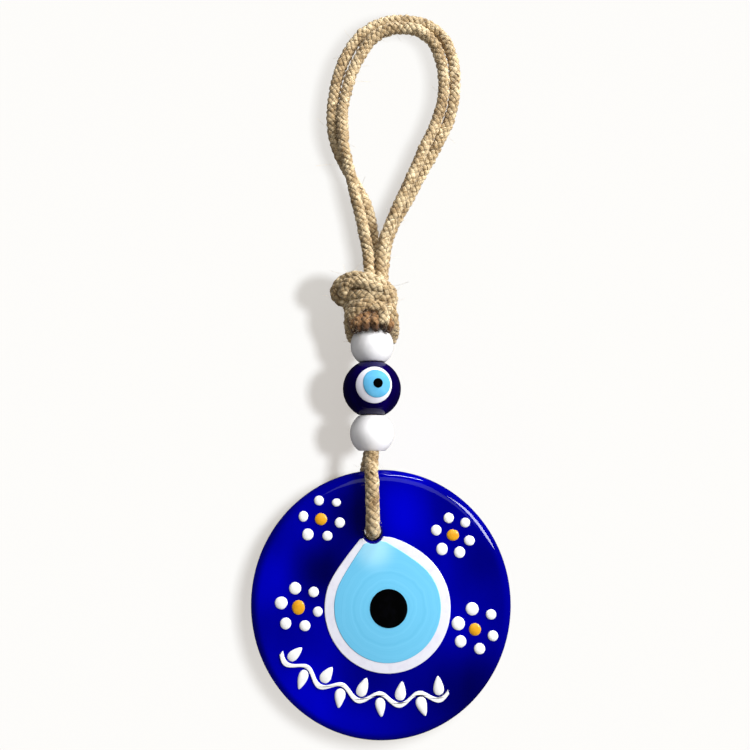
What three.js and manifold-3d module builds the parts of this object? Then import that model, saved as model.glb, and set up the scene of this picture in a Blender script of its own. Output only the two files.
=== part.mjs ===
// Hanging evil eye ornament: a cobalt glass disc with a fused eye and enamel flowers, hung by one
// doubled jute cord through three beads and a knot. Millimetres, +Z up, the decorated face looks
// along -Y. The origin is the hanging point: the inside of the cord loop at its top.

import * as THREE from 'three';
import { mergeVertices } from 'three/addons/utils/BufferGeometryUtils.js';
import Module from 'manifold-3d';

const wasm = await Module();
wasm.setup();

// ---- Driving dimensions ----

const CORD_DIAMETER = 3.7;      // one jute strand, free
const STRAND_IN_BEAD = 3.0;     // one strand squeezed in a bead's bore
const FIT_GAP = 0.3;            // clearance between pieces that touch on the real object

const DISC_RADIUS = 40;
const DISC_HALF_THICKNESS = 3.5;
const DISC_RIM_ROUND = 3.2;
const DISC_CENTRE = [-8.6, -189.3];   // x, z
const DISC_LEAN = -5;                 // degrees from plumb, seen from the front
const HOLE_RADIUS = 2.6;
const HOLE_LIP_ROUND = 0.8;
const HOLE_CENTRE = { u: -0.65, v: 21.1 };   // from the disc's centre, on its own upright

const INLAY_HEIGHT = 0.6;             // how far the fused eye layers stand off the face
// Each drop is a round pool with two flanks drawn up to the hole: the angle where a flank leaves the
// pool, how far it runs straight on before it bends, and the corner where it ends.
const EYE_WHITE = {
  u: 1.9, v: -1.2, radius: 19.1,
  right: { leavesAt: 25, pull: 8.6, corner: [5.4, 19.1] },
  left: { leavesAt: 158, pull: 4.5, corner: [-4.7, 19.6] },
};
const EYE_IRIS = {
  u: 1.9, v: -1.1, radius: 16.2,
  right: { leavesAt: 36, pull: 3.6, corner: [3.3, 18.1] },
  left: { leavesAt: 152, pull: 3.6, corner: [-3.7, 18.1] },
};
const EYE_CROWN = 1.2;                // how far a drop's top bows up between its corners
const EYE_PUPIL = { u: 2.2, v: -1.5, radius: 5.75 };

const DOT_HEIGHT = 0.75;              // enamel dots
const GARLAND = { u: 7, v: 24, radius: 52, from: -137, to: -78, waves: 4.5, wave: 1.5, width: 1.5 };
const LEAF_COUNT = 9;
const LEAF = { length: 5.4, width: 2.8, gap: 0.4, slant: 0.02 };   // slant is a share of the garland
const STROKE_HEIGHT = 0.5;

const BEAD_AXIS_X = -11.4;            // the three beads share one upright axis
const WHITE_BEAD_RADIUS = 7;
const EYE_BEAD_RADIUS = 9.35;
const BEAD_BORE_RADIUS = 3.5;
const BEAD_MOUTH_ROUND = 0.5;
const BEAD_GAP = 0.2;
const STRAND_OFFSET = 1.6;            // from the beads' axis to each strand in the bore
const STRAND_ABOVE_BEADS = 0.5;       // how far those strands stand out of the top mouth
const STRAND_BELOW_BEADS = 1.1;       // and out of the bottom one
const EYE_BEAD_Z = -123.5;
const BEAD_EYE = { turn: 8, tilt: 4, pupil: 1.45, iris: 4.25, white: 5.8, height: 0.35 };

const KNOT_TOP_Z = -85.4;
const KNOT_BOTTOM_Z = -109.3;
const KNOT_RADIUS = 8.8;
const KNOT_SHOULDER_ROUND = 5;
const KNOT_FOOT_ROUND = 1.4;
const KNOT_SEAT_GAP = 0.45;           // between the knot's hollow underside and the upper bead
const KNOT_BULGE = { x: -20.2, z: -91.6, rx: 5.3, ry: 5.2, rz: 5.4 };

// The doubled cord from the neck, up one side, over the top and down the other: x, y, z.
const INNER_ROUTE = [
  [-14.4, -2.2, -70], [-15.4, -2.2, -65.5], [-16.8, -2.2, -60], [-18, -2.2, -54.5],
  [-19.4, -1.9, -48.5], [-20.7, -1.8, -42.5], [-21.3, -1.1, -36], [-21.4, -0.4, -28.5],
  [-20.2, -0.1, -21], [-18.2, -0.1, -14], [-15.3, -0.2, -7.6],
  [-11.8, -0.4, -2.4], [-7.2, -0.6, 1], [-1.3, -0.8, 2.1], [4.2, -0.7, 1.2], [8.4, -0.4, -1.6],
  [11.4, -0.2, -6.4], [13, -0.1, -13.5], [13.1, -0.2, -21.2], [11.6, -0.6, -29], [8.8, -1.3, -36.4],
  [5.8, -1.9, -43], [3.2, -2.1, -49.5], [0.4, -2.2, -55.8], [-2, -2.2, -61.2], [-4, -2.2, -65.8],
  [-5.7, -2.2, -70],
];
const OUTER_ROUTE = [
  [-11.2, 2.2, -70], [-11.9, 2.2, -66], [-13.4, 2.2, -60.4], [-16.2, 2.2, -55],
  [-19.2, 2.2, -49.4], [-22.3, 2.2, -43.4], [-24.6, 1.5, -36.5], [-25, 0.4, -29],
  [-24.2, 0.2, -20.8], [-22.5, 0.3, -13], [-19.6, 0.5, -6],
  [-15.6, 0.8, 0], [-9.8, 1, 4.4], [-2.4, 1.2, 6.1], [4.6, 1.1, 5.4], [10.6, 0.8, 2.4],
  [14.8, 0.5, -3.4], [16.8, 0.3, -11.4], [17, 0.5, -20.6], [15.5, 0.9, -29.4], [11.9, 1.5, -37.6],
  [8.4, 2.1, -44.4], [5, 2.2, -50.6], [2, 2.2, -56.6], [-0.8, 2.2, -61.8], [-3.2, 2.2, -65.8],
  [-5.0, 2.2, -70],
];
const LOOP_STEPS = 40;

// The neck: the same four strand ends run on together into the knot.
const NECK_ROUTES = [
  [[-13.6, -2.2, -74], [-12.9, -2.2, -77.7], [-12.4, -2.2, -81.4]],
  [[-11.1, 2.2, -74], [-11.3, 2.2, -77.7], [-11.6, 2.2, -81.4]],
  [[-7.3, -2.2, -74], [-7.9, -2.2, -77.7], [-8.3, -2.2, -81.4]],
  [[-6.4, 2.2, -74], [-7.0, 2.2, -77.7], [-7.5, 2.2, -81.4]],
];

// The bail: out of the lower bead, down the front, through the disc's hole and up the back.
// The list is the front half; the back half is the same with y reversed.
const BAIL_FRONT_ROUTE = [
  [-11.5, -3.7, -147.5], [-11.5, -5.4, -149.6], [-11.3, -5.9, -153], [-11.2, -5.9, -158.5],
  [-11.1, -5.9, -163.2], [-11.1, -5.1, -166.7], [-11.1, -2.5, -168.3],
];
const BAIL_IN_HOLE = [-11.1, 0, -168.4];

// Each flower: its centre on the disc (u across, v up), its yellow dot and six white dots, every
// dot as the angle in degrees, the distance from the centre and its own width.
const FLOWERS = [
  {
    name: 'flower_upper_left', u: -16.2, v: 26.6, core: 3.9,
    petals: [
      [92, 5.7, 3.1], [42, 6.9, 2.6], [166, 5.5, 3.1],
      [-15, 5.9, 3.1], [-136, 6.1, 3.4], [-73, 5.4, 3.1],
    ],
  },
  {
    name: 'flower_upper_right', u: 23.8, v: 18.3, core: 3.6,
    petals: [
      [98, 5.3, 3.1], [39, 5.4, 2.9], [159, 5.3, 3.2],
      [-23, 5.3, 3.2], [-134, 5.4, 3.6], [-74, 5.5, 3.3],
    ],
  },
  {
    name: 'flower_left', u: -25, v: 1.1, core: 4.1,
    petals: [
      [96, 5.7, 3.6], [40, 6.4, 3.2], [161, 5.4, 3.7],
      [-17, 6.0, 3.0], [-134, 6.0, 3.5], [-74, 5.7, 3.2],
    ],
  },
  {
    name: 'flower_right', u: 27.6, v: -9.9, core: 3.6,
    petals: [
      [92, 6.0, 3.7], [156, 5.3, 3.8], [-147, 5.6, 3.5],
      [-82, 5.7, 3.2], [36, 6.6, 3.0], [-24, 5.7, 3.2],
    ],
  },
];

// ---- Materials ----

function paint(color, roughness, metalness = 0) {
  return new THREE.MeshStandardMaterial({ color, roughness, metalness });
}

const jute = paint(0xc8a873, 0.95);
const cobaltGlass = paint(0x0a0a96, 0.06);
const whiteGlass = paint(0xf1eef6, 0.12);
const skyGlass = paint(0x74c8ee, 0.1);
const blackGlass = paint(0x060608, 0.08);
const whiteEnamel = paint(0xf8f8f6, 0.3);
const yellowEnamel = paint(0xe2a01c, 0.3);
const whiteCeramic = paint(0xf2f2f0, 0.32);

// ---- Helpers ----

const ornament = new THREE.Group();

function radians(degrees) {
  return degrees * Math.PI / 180;
}

function addPiece(name, geometry, material, position = [0, 0, 0], parent = ornament) {
  const mesh = new THREE.Mesh(geometry, material);
  mesh.name = name;
  mesh.position.set(...position);
  parent.add(mesh);
}

// A closed geometry as a solid that can be joined and cut.
function solidOf(geometry) {
  const bare = geometry.clone();
  bare.deleteAttribute('normal');
  bare.deleteAttribute('uv');
  const merged = mergeVertices(bare, 1e-4);
  return new wasm.Manifold(new wasm.Mesh({
    numProp: 3,
    vertProperties: new Float32Array(merged.attributes.position.array),
    triVerts: new Uint32Array(merged.index.array),
  }));
}

function geometryOf(solid) {
  const mesh = solid.getMesh();
  const geometry = new THREE.BufferGeometry();
  const positions = new Float32Array(mesh.vertProperties);
  geometry.setAttribute('position', new THREE.BufferAttribute(positions, 3));
  geometry.setIndex(new THREE.BufferAttribute(new Uint32Array(mesh.triVerts), 1));
  return geometry;
}

// Points of a round arc in a profile, angles in degrees.
function arc(cx, cy, radius, from, to, steps) {
  const points = [];
  for (let i = 0; i <= steps; i++) {
    const angle = radians(from + (to - from) * i / steps);
    points.push(new THREE.Vector2(cx + radius * Math.cos(angle), cy + radius * Math.sin(angle)));
  }
  return points;
}

// A solid of revolution about Y from a profile that starts and ends on the axis, or closes.
function turned(profile, segments) {
  return new THREE.LatheGeometry(profile, segments);
}

// A round cord of the given diameter along a route.
function cordAlong(route, diameter, steps) {
  const points = route.map((place) => new THREE.Vector3(...place));
  const curve = new THREE.CatmullRomCurve3(points, false, 'centripetal');
  const section = new THREE.Shape(arc(0, 0, diameter / 2, 0, 315, 7));
  return new THREE.ExtrudeGeometry(section, { steps, extrudePath: curve });
}

// A flat shape drawn across (u) and up (v) the disc, raised off its front face towards -Y.
function raised(shape, height) {
  const geometry = new THREE.ExtrudeGeometry(shape, { depth: height, bevelEnabled: false });
  return geometry.rotateX(Math.PI / 2);
}

// Turns a point from the disc's own upright to plumb.
function leaned(u, v) {
  const lean = radians(DISC_LEAN);
  return [u * Math.cos(lean) + v * Math.sin(lean), v * Math.cos(lean) - u * Math.sin(lean)];
}

// A point of the disc's front face in the ornament's frame.
function onFace(u, v) {
  const [x, z] = leaned(u, v);
  return [DISC_CENTRE[0] + x, -DISC_HALF_THICKNESS, DISC_CENTRE[1] + z];
}

function leanedShape(points, holes = []) {
  const shape = new THREE.Shape(points.map((p) => new THREE.Vector2(...leaned(p.x, p.y))));
  for (const hole of holes) {
    shape.holes.push(new THREE.Path(hole.map((p) => new THREE.Vector2(...leaned(p.x, p.y)))));
  }
  return shape;
}

// ---- Cord ----

function buildLoop() {
  addPiece('loop_strand_inner', cordAlong(INNER_ROUTE, CORD_DIAMETER, LOOP_STEPS), jute);
  addPiece('loop_strand_outer', cordAlong(OUTER_ROUTE, CORD_DIAMETER, LOOP_STEPS), jute);
}

function buildNeck() {
  NECK_ROUTES.forEach((route, i) => {
    addPiece(`neck_strand_${i + 1}`, cordAlong(route, CORD_DIAMETER, 4), jute);
  });
}

function buildKnot(beadZ) {
  const height = KNOT_TOP_Z - KNOT_BOTTOM_Z;
  const profile = [
    new THREE.Vector2(0, -height),
    ...arc(KNOT_RADIUS - KNOT_FOOT_ROUND, -height + KNOT_FOOT_ROUND, KNOT_FOOT_ROUND, -90, 0, 3),
    ...arc(KNOT_RADIUS - KNOT_SHOULDER_ROUND, -KNOT_SHOULDER_ROUND, KNOT_SHOULDER_ROUND, 0, 90, 6),
    new THREE.Vector2(0, 0),
  ];
  const barrel = turned(profile, 24).rotateX(Math.PI / 2);
  barrel.translate(BEAD_AXIS_X, 0, KNOT_TOP_Z);
  const bulge = new THREE.SphereGeometry(1, 14, 9);
  bulge.scale(KNOT_BULGE.rx, KNOT_BULGE.ry, KNOT_BULGE.rz);
  bulge.translate(KNOT_BULGE.x, 0, KNOT_BULGE.z);
  const seat = new THREE.SphereGeometry(WHITE_BEAD_RADIUS + KNOT_SEAT_GAP, 20, 14);
  seat.translate(BEAD_AXIS_X, 0, beadZ);
  const knot = solidOf(barrel).add(solidOf(bulge)).subtract(solidOf(seat));
  addPiece('knot', geometryOf(knot), jute);
}

function buildBeadCord(topZ, bottomZ) {
  const places = { front: -STRAND_OFFSET, back: STRAND_OFFSET };
  const radius = STRAND_IN_BEAD / 2;
  for (const [side, y] of Object.entries(places)) {
    const strand = new THREE.CylinderGeometry(radius, radius, topZ - bottomZ, 10).rotateX(Math.PI / 2);
    addPiece(`bead_cord_${side}`, strand, jute, [BEAD_AXIS_X, y, (topZ + bottomZ) / 2]);
  }
}

function buildBail() {
  const back = BAIL_FRONT_ROUTE.map(([x, y, z]) => [x, -y, z]).reverse();
  const route = [...BAIL_FRONT_ROUTE, BAIL_IN_HOLE, ...back];
  addPiece('disc_bail_cord', cordAlong(route, CORD_DIAMETER, 44), jute);
}

// ---- Beads ----

// A bored round bead about Z with rounded mouths, centred on its own middle.
function boredBead(radius, segments, rings) {
  const mouthCentre = BEAD_BORE_RADIUS + BEAD_MOUTH_ROUND;
  const tip = Math.sqrt((radius - BEAD_MOUTH_ROUND) ** 2 - mouthCentre ** 2);
  const tipAngle = Math.atan2(tip, mouthCentre) * 180 / Math.PI;
  const profile = [
    ...arc(mouthCentre, -tip, BEAD_MOUTH_ROUND, -180, -tipAngle, 3),
    ...arc(0, 0, radius, -tipAngle, tipAngle, rings).slice(1, -1),
    ...arc(mouthCentre, tip, BEAD_MOUTH_ROUND, tipAngle, 180, 3),
  ];
  profile.push(profile[0].clone());
  return turned(profile, segments).rotateX(Math.PI / 2);
}

// Half the length of a bored bead, from its middle to the end of its mouth.
function halfLength(radius) {
  const mouthCentre = BEAD_BORE_RADIUS + BEAD_MOUTH_ROUND;
  return Math.sqrt((radius - BEAD_MOUTH_ROUND) ** 2 - mouthCentre ** 2) + BEAD_MOUTH_ROUND;
}

// A piece of shell over the eye bead between two distances from the eye's centre.
function shellRing(inner, outer) {
  const base = EYE_BEAD_RADIUS + FIT_GAP;
  const top = base + BEAD_EYE.height;
  const from = 90 - Math.asin(outer / EYE_BEAD_RADIUS) * 180 / Math.PI;
  const to = 90 - Math.asin(inner / EYE_BEAD_RADIUS) * 180 / Math.PI;
  const profile = [...arc(0, 0, top, from, to, 3), ...arc(0, 0, base, to, from, 3)];
  if (inner > 0) {
    profile.push(profile[0].clone());
    return turned(profile, 24);
  }
  const outside = [...arc(0, 0, top, from, 90, 4).slice(0, -1), new THREE.Vector2(0, top)];
  const inside = [...arc(0, 0, base, from, 90, 4).slice(0, -1), new THREE.Vector2(0, base)];
  return turned([...inside.reverse(), ...outside], 16);
}

function buildBeads(upperZ, lowerZ) {
  const whiteBead = () => boredBead(WHITE_BEAD_RADIUS, 24, 9);
  addPiece('upper_white_bead', whiteBead(), whiteCeramic, [BEAD_AXIS_X, 0, upperZ]);
  addPiece('eye_bead', boredBead(EYE_BEAD_RADIUS, 28, 12), cobaltGlass, [BEAD_AXIS_X, 0, EYE_BEAD_Z]);
  addPiece('lower_white_bead', whiteBead(), whiteCeramic, [BEAD_AXIS_X, 0, lowerZ]);

  const eye = new THREE.Group();
  eye.position.set(BEAD_AXIS_X, 0, EYE_BEAD_Z);
  eye.rotation.set(radians(180 - BEAD_EYE.tilt), 0, radians(BEAD_EYE.turn), 'ZYX');
  ornament.add(eye);
  const gap = FIT_GAP / 2;
  const { pupil, iris, white } = BEAD_EYE;
  const middle = [0, 0, 0];
  addPiece('bead_eye_pupil', shellRing(0, pupil - gap), blackGlass, middle, eye);
  addPiece('bead_eye_iris', shellRing(pupil + gap, iris - gap), skyGlass, middle, eye);
  addPiece('bead_eye_white', shellRing(iris + gap, white), whiteGlass, middle, eye);
}

// ---- Disc ----

// The hole's tool: a cylinder that flares at both faces, so the glass keeps rounded lips.
function holeTool() {
  const face = DISC_HALF_THICKNESS;
  const mouth = HOLE_RADIUS + HOLE_LIP_ROUND;
  const beyond = 2;
  const profile = [
    new THREE.Vector2(0, -face - beyond),
    new THREE.Vector2(mouth, -face - beyond),
    ...arc(mouth, -face + HOLE_LIP_ROUND, HOLE_LIP_ROUND, 270, 180, 4),
    ...arc(mouth, face - HOLE_LIP_ROUND, HOLE_LIP_ROUND, 180, 90, 4),
    new THREE.Vector2(mouth, face + beyond),
    new THREE.Vector2(0, face + beyond),
  ];
  const [x, z] = leaned(HOLE_CENTRE.u, HOLE_CENTRE.v);
  return turned(profile, 32).translate(x, 0, z);
}

function buildDisc() {
  const flat = DISC_RADIUS - DISC_RIM_ROUND;
  const side = DISC_HALF_THICKNESS - DISC_RIM_ROUND;
  const profile = [
    new THREE.Vector2(0, -DISC_HALF_THICKNESS),
    ...arc(flat, -side, DISC_RIM_ROUND, -90, 0, 5),
    ...arc(flat, side, DISC_RIM_ROUND, 0, 90, 5),
    new THREE.Vector2(0, DISC_HALF_THICKNESS),
  ];
  const glass = solidOf(turned(profile, 72)).subtract(solidOf(holeTool()));
  addPiece('glass_disc', geometryOf(glass), cobaltGlass, [DISC_CENTRE[0], 0, DISC_CENTRE[1]]);
}

// A flank of a drop between the pool's edge and a corner, without its last point.
function flank(from, bend, to, steps) {
  const curve = new THREE.QuadraticBezierCurve(from, bend, to);
  return curve.getPoints(steps).slice(0, -1);
}

// The outline of a drop, grown or shrunk about its own middle.
function dropOutline(drop, grow) {
  const pool = arc(drop.u, drop.v, drop.radius, drop.left.leavesAt, drop.right.leavesAt + 360, 44);
  const start = pool[0];
  const end = pool[pool.length - 1];
  const bendOf = (side, point, way) => new THREE.Vector2(
    point.x - way * side.pull * Math.sin(radians(side.leavesAt)),
    point.y + way * side.pull * Math.cos(radians(side.leavesAt)),
  );
  const right = new THREE.Vector2(...drop.right.corner);
  const left = new THREE.Vector2(...drop.left.corner);
  const top = right.clone().add(left).multiplyScalar(0.5);
  top.y += EYE_CROWN;
  const outline = [
    ...pool.slice(0, -1),
    ...flank(end, bendOf(drop.right, end, 1), right, 8),
    ...flank(right, top, left, 6),
    ...flank(left, bendOf(drop.left, start, -1), start, 8),
  ];
  const middle = new THREE.Vector2(drop.u, drop.v);
  const share = (drop.radius + grow) / drop.radius;
  return outline.map((p) => p.sub(middle).multiplyScalar(share).add(middle));
}

function buildEye() {
  const gap = FIT_GAP / 2;
  const hole = solidOf(holeTool());
  const place = [DISC_CENTRE[0], 0, DISC_CENTRE[1]];
  const pupilOutline = arc(EYE_PUPIL.u, EYE_PUPIL.v, EYE_PUPIL.radius, 0, 350, 35);
  const pupilHole = arc(EYE_PUPIL.u, EYE_PUPIL.v, EYE_PUPIL.radius + FIT_GAP, 350, 0, 35);
  const irisHole = dropOutline(EYE_IRIS, gap).reverse();
  const inlays = {
    eye_white: [leanedShape(dropOutline(EYE_WHITE, 0), [irisHole]), whiteGlass],
    eye_iris: [leanedShape(dropOutline(EYE_IRIS, -gap), [pupilHole]), skyGlass],
    eye_pupil: [leanedShape(pupilOutline), blackGlass],
  };
  for (const [name, [shape, glass]] of Object.entries(inlays)) {
    const plate = raised(shape, INLAY_HEIGHT).translate(0, -DISC_HALF_THICKNESS, 0);
    addPiece(name, geometryOf(solidOf(plate).subtract(hole)), glass, place);
  }
}

// One dab of enamel: a low dome standing on the face.
function dab(width) {
  const profile = [new THREE.Vector2(0, 0)];
  for (let i = 0; i <= 2; i++) {
    const angle = radians(45 * i);
    profile.unshift(new THREE.Vector2(width / 2 * Math.cos(angle), -DOT_HEIGHT * Math.sin(angle)));
  }
  profile[0].x = 0;
  return turned(profile, 12);
}

function buildFlowers() {
  for (const flower of FLOWERS) {
    addPiece(`${flower.name}_centre`, dab(flower.core), yellowEnamel, onFace(flower.u, flower.v));
    flower.petals.forEach(([angle, distance, width], i) => {
      const u = flower.u + distance * Math.cos(radians(angle));
      const v = flower.v + distance * Math.sin(radians(angle));
      addPiece(`${flower.name}_petal_${i + 1}`, dab(width), whiteEnamel, onFace(u, v));
    });
  }
}

// A point of the garland at a share of its length, moved across it by a distance.
function garlandPoint(share, across) {
  const angle = radians(GARLAND.from + (GARLAND.to - GARLAND.from) * share);
  const distance = GARLAND.radius + across;
  const middle = new THREE.Vector2(GARLAND.u, GARLAND.v);
  return new THREE.Vector2(Math.cos(angle), Math.sin(angle)).multiplyScalar(distance).add(middle);
}

function garlandWave(share) {
  return GARLAND.wave * Math.sin(2 * Math.PI * GARLAND.waves * share);
}

function buildGarland() {
  const steps = 45;
  const near = [];
  const far = [];
  for (let i = 0; i <= steps; i++) {
    const share = i / steps;
    near.push(garlandPoint(share, garlandWave(share) - GARLAND.width / 2));
    far.unshift(garlandPoint(share, garlandWave(share) + GARLAND.width / 2));
  }
  const place = [DISC_CENTRE[0], -DISC_HALF_THICKNESS, DISC_CENTRE[1]];
  addPiece('garland_stem', raised(leanedShape([...near, ...far]), STROKE_HEIGHT), whiteEnamel, place);

  for (let k = 0; k < LEAF_COUNT; k++) {
    const side = k % 2 === 0 ? -1 : 1;
    const share = (k + 0.5) / LEAF_COUNT;
    const base = side * (GARLAND.width / 2 + LEAF.gap - GARLAND.wave);
    const foot = garlandPoint(share, base);
    const tip = garlandPoint(share + LEAF.slant, base + side * LEAF.length);
    const outline = leafOutline(foot, tip, LEAF.width);
    addPiece(`garland_leaf_${k + 1}`, raised(leanedShape(outline), STROKE_HEIGHT), whiteEnamel, place);
  }
}

// An almond-shaped leaf from its foot to its tip.
function leafOutline(foot, tip, width) {
  const across = new THREE.Vector2(foot.y - tip.y, tip.x - foot.x).normalize();
  const steps = 6;
  const points = [];
  for (let i = 0; i < 2 * steps; i++) {
    const share = i <= steps ? i / steps : 2 - i / steps;
    const side = i <= steps ? 1 : -1;
    const half = side * width / 2 * Math.sin(Math.PI * share);
    points.push(foot.clone().lerp(tip, share).addScaledVector(across, half));
  }
  return points;
}

// ---- Assembly ----

const beadStep = halfLength(WHITE_BEAD_RADIUS) + halfLength(EYE_BEAD_RADIUS) + BEAD_GAP;
const upperBeadZ = EYE_BEAD_Z + beadStep;
const lowerBeadZ = EYE_BEAD_Z - beadStep;
const beadsTopZ = upperBeadZ + halfLength(WHITE_BEAD_RADIUS);
const beadsBottomZ = lowerBeadZ - halfLength(WHITE_BEAD_RADIUS);

buildLoop();
buildNeck();
buildKnot(upperBeadZ);
buildBeadCord(beadsTopZ + STRAND_ABOVE_BEADS, beadsBottomZ - STRAND_BELOW_BEADS);
buildBeads(upperBeadZ, lowerBeadZ);
buildBail();
buildDisc();
buildEye();
buildFlowers();
buildGarland();

export default ornament;
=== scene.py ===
"""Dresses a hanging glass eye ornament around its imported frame.

A doubled jute cord makes a hanging loop, a knot and a bail; it carries two white beads, a lampwork
eye bead and a cobalt glass disc with a fused eye and enamel flowers. Metres, +Z up, front at -Y.
"""

import logging
import math
from collections.abc import Sequence
from dataclasses import dataclass, field
from enum import Enum

import bmesh
import bpy
import numpy as np
from mathutils import Matrix, Vector
from mathutils.geometry import tessellate_polygon


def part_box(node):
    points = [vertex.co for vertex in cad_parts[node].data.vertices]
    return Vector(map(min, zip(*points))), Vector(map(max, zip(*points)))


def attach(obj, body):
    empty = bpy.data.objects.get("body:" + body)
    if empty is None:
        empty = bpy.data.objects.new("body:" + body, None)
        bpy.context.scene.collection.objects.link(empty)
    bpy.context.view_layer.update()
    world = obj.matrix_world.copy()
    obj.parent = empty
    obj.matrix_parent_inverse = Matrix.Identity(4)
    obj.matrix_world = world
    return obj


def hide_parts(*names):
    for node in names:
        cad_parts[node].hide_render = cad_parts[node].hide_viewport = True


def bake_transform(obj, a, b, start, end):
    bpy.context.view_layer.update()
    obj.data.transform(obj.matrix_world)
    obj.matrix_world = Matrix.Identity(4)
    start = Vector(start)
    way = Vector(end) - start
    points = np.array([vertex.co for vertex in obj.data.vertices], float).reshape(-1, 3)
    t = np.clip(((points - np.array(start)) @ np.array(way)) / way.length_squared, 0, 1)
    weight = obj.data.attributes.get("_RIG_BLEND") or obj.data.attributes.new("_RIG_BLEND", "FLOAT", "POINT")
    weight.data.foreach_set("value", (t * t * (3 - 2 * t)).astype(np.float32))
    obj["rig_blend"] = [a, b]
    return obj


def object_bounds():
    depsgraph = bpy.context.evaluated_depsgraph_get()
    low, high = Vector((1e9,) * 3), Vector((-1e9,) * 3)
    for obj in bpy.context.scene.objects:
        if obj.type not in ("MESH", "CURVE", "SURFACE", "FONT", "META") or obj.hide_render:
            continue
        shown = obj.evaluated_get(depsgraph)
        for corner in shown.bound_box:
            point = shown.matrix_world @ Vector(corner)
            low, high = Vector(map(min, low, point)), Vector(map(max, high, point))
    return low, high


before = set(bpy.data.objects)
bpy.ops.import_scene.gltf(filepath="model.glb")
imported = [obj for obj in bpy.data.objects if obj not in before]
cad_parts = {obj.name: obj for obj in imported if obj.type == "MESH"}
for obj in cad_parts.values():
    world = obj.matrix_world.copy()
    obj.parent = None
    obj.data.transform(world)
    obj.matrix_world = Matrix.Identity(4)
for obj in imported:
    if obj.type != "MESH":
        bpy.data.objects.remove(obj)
CAD_LOW, CAD_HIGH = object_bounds()

LOG = logging.getLogger("eye_ornament")
MM = 0.001
ROUTE_STEP = 0.5 * MM

Point = tuple[float, float, float]
Route = Sequence[Point]
Colour = tuple[float, float, float]
Outline = list[tuple[float, float]]
Blob = tuple[float, float, float, float, float]


class Body(str, Enum):
    """The moving bodies of the frame."""

    LOOP = "hanging_loop"
    NECK = "neck"
    KNOT = "knot"
    BEAD_CORD = "bead_cord"
    UPPER_BEAD = "upper_bead"
    EYE_BEAD = "eye_bead"
    LOWER_BEAD = "lower_bead"
    BAIL = "bail"
    DISC = "disc"


# ---------------------------------------------------------------- node benches


class Bench:
    """Adds nodes to one tree and joins them."""

    def __init__(self, tree: bpy.types.NodeTree) -> None:
        """Keeps the tree to work on."""
        self.tree = tree

    def add(self, kind: str, feeds: dict | None = None, **settings: object) -> bpy.types.Node:
        """Adds one node.

        Args:
            kind: The node's type.
            feeds: Its inputs by name or index; a socket is linked, anything else is set.
            settings: The node's own properties.

        Returns:
            The new node.
        """
        node = self.tree.nodes.new(kind)
        for key, value in settings.items():
            setattr(node, key, value)
        for key, value in (feeds or {}).items():
            if isinstance(value, bpy.types.NodeSocket):
                self.tree.links.new(value, node.inputs[key])
            else:
                node.inputs[key].default_value = value
        return node

    def out(self, kind: str, feeds: dict | None = None, **settings: object) -> bpy.types.NodeSocket:
        """Adds one node, as add does, and returns its first output."""
        return self.add(kind, feeds, **settings).outputs[0]

    def here(self) -> bpy.types.NodeSocket:
        """The place on the piece that a material is asked about."""
        return self.add("ShaderNodeTexCoord").outputs["Object"]

    def math(self, operation: str, *terms: object) -> bpy.types.NodeSocket:
        """The result of one Math node."""
        return self.out("ShaderNodeMath", dict(enumerate(terms)), operation=operation)

    def vector(self, operation: str, *terms: object, scale: object = None) -> bpy.types.NodeSocket:
        """The result of one Vector Math node.

        Args:
            operation: The node's operation.
            terms: Its vector inputs in order.
            scale: The factor of a SCALE operation.

        Returns:
            Its vector output, or its value for a length or a distance.
        """
        feeds = dict(enumerate(terms))
        if scale is not None:
            feeds["Scale"] = scale
        node = self.add("ShaderNodeVectorMath", feeds, operation=operation)
        return node.outputs["Value" if operation in ("DISTANCE", "LENGTH") else "Vector"]


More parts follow.
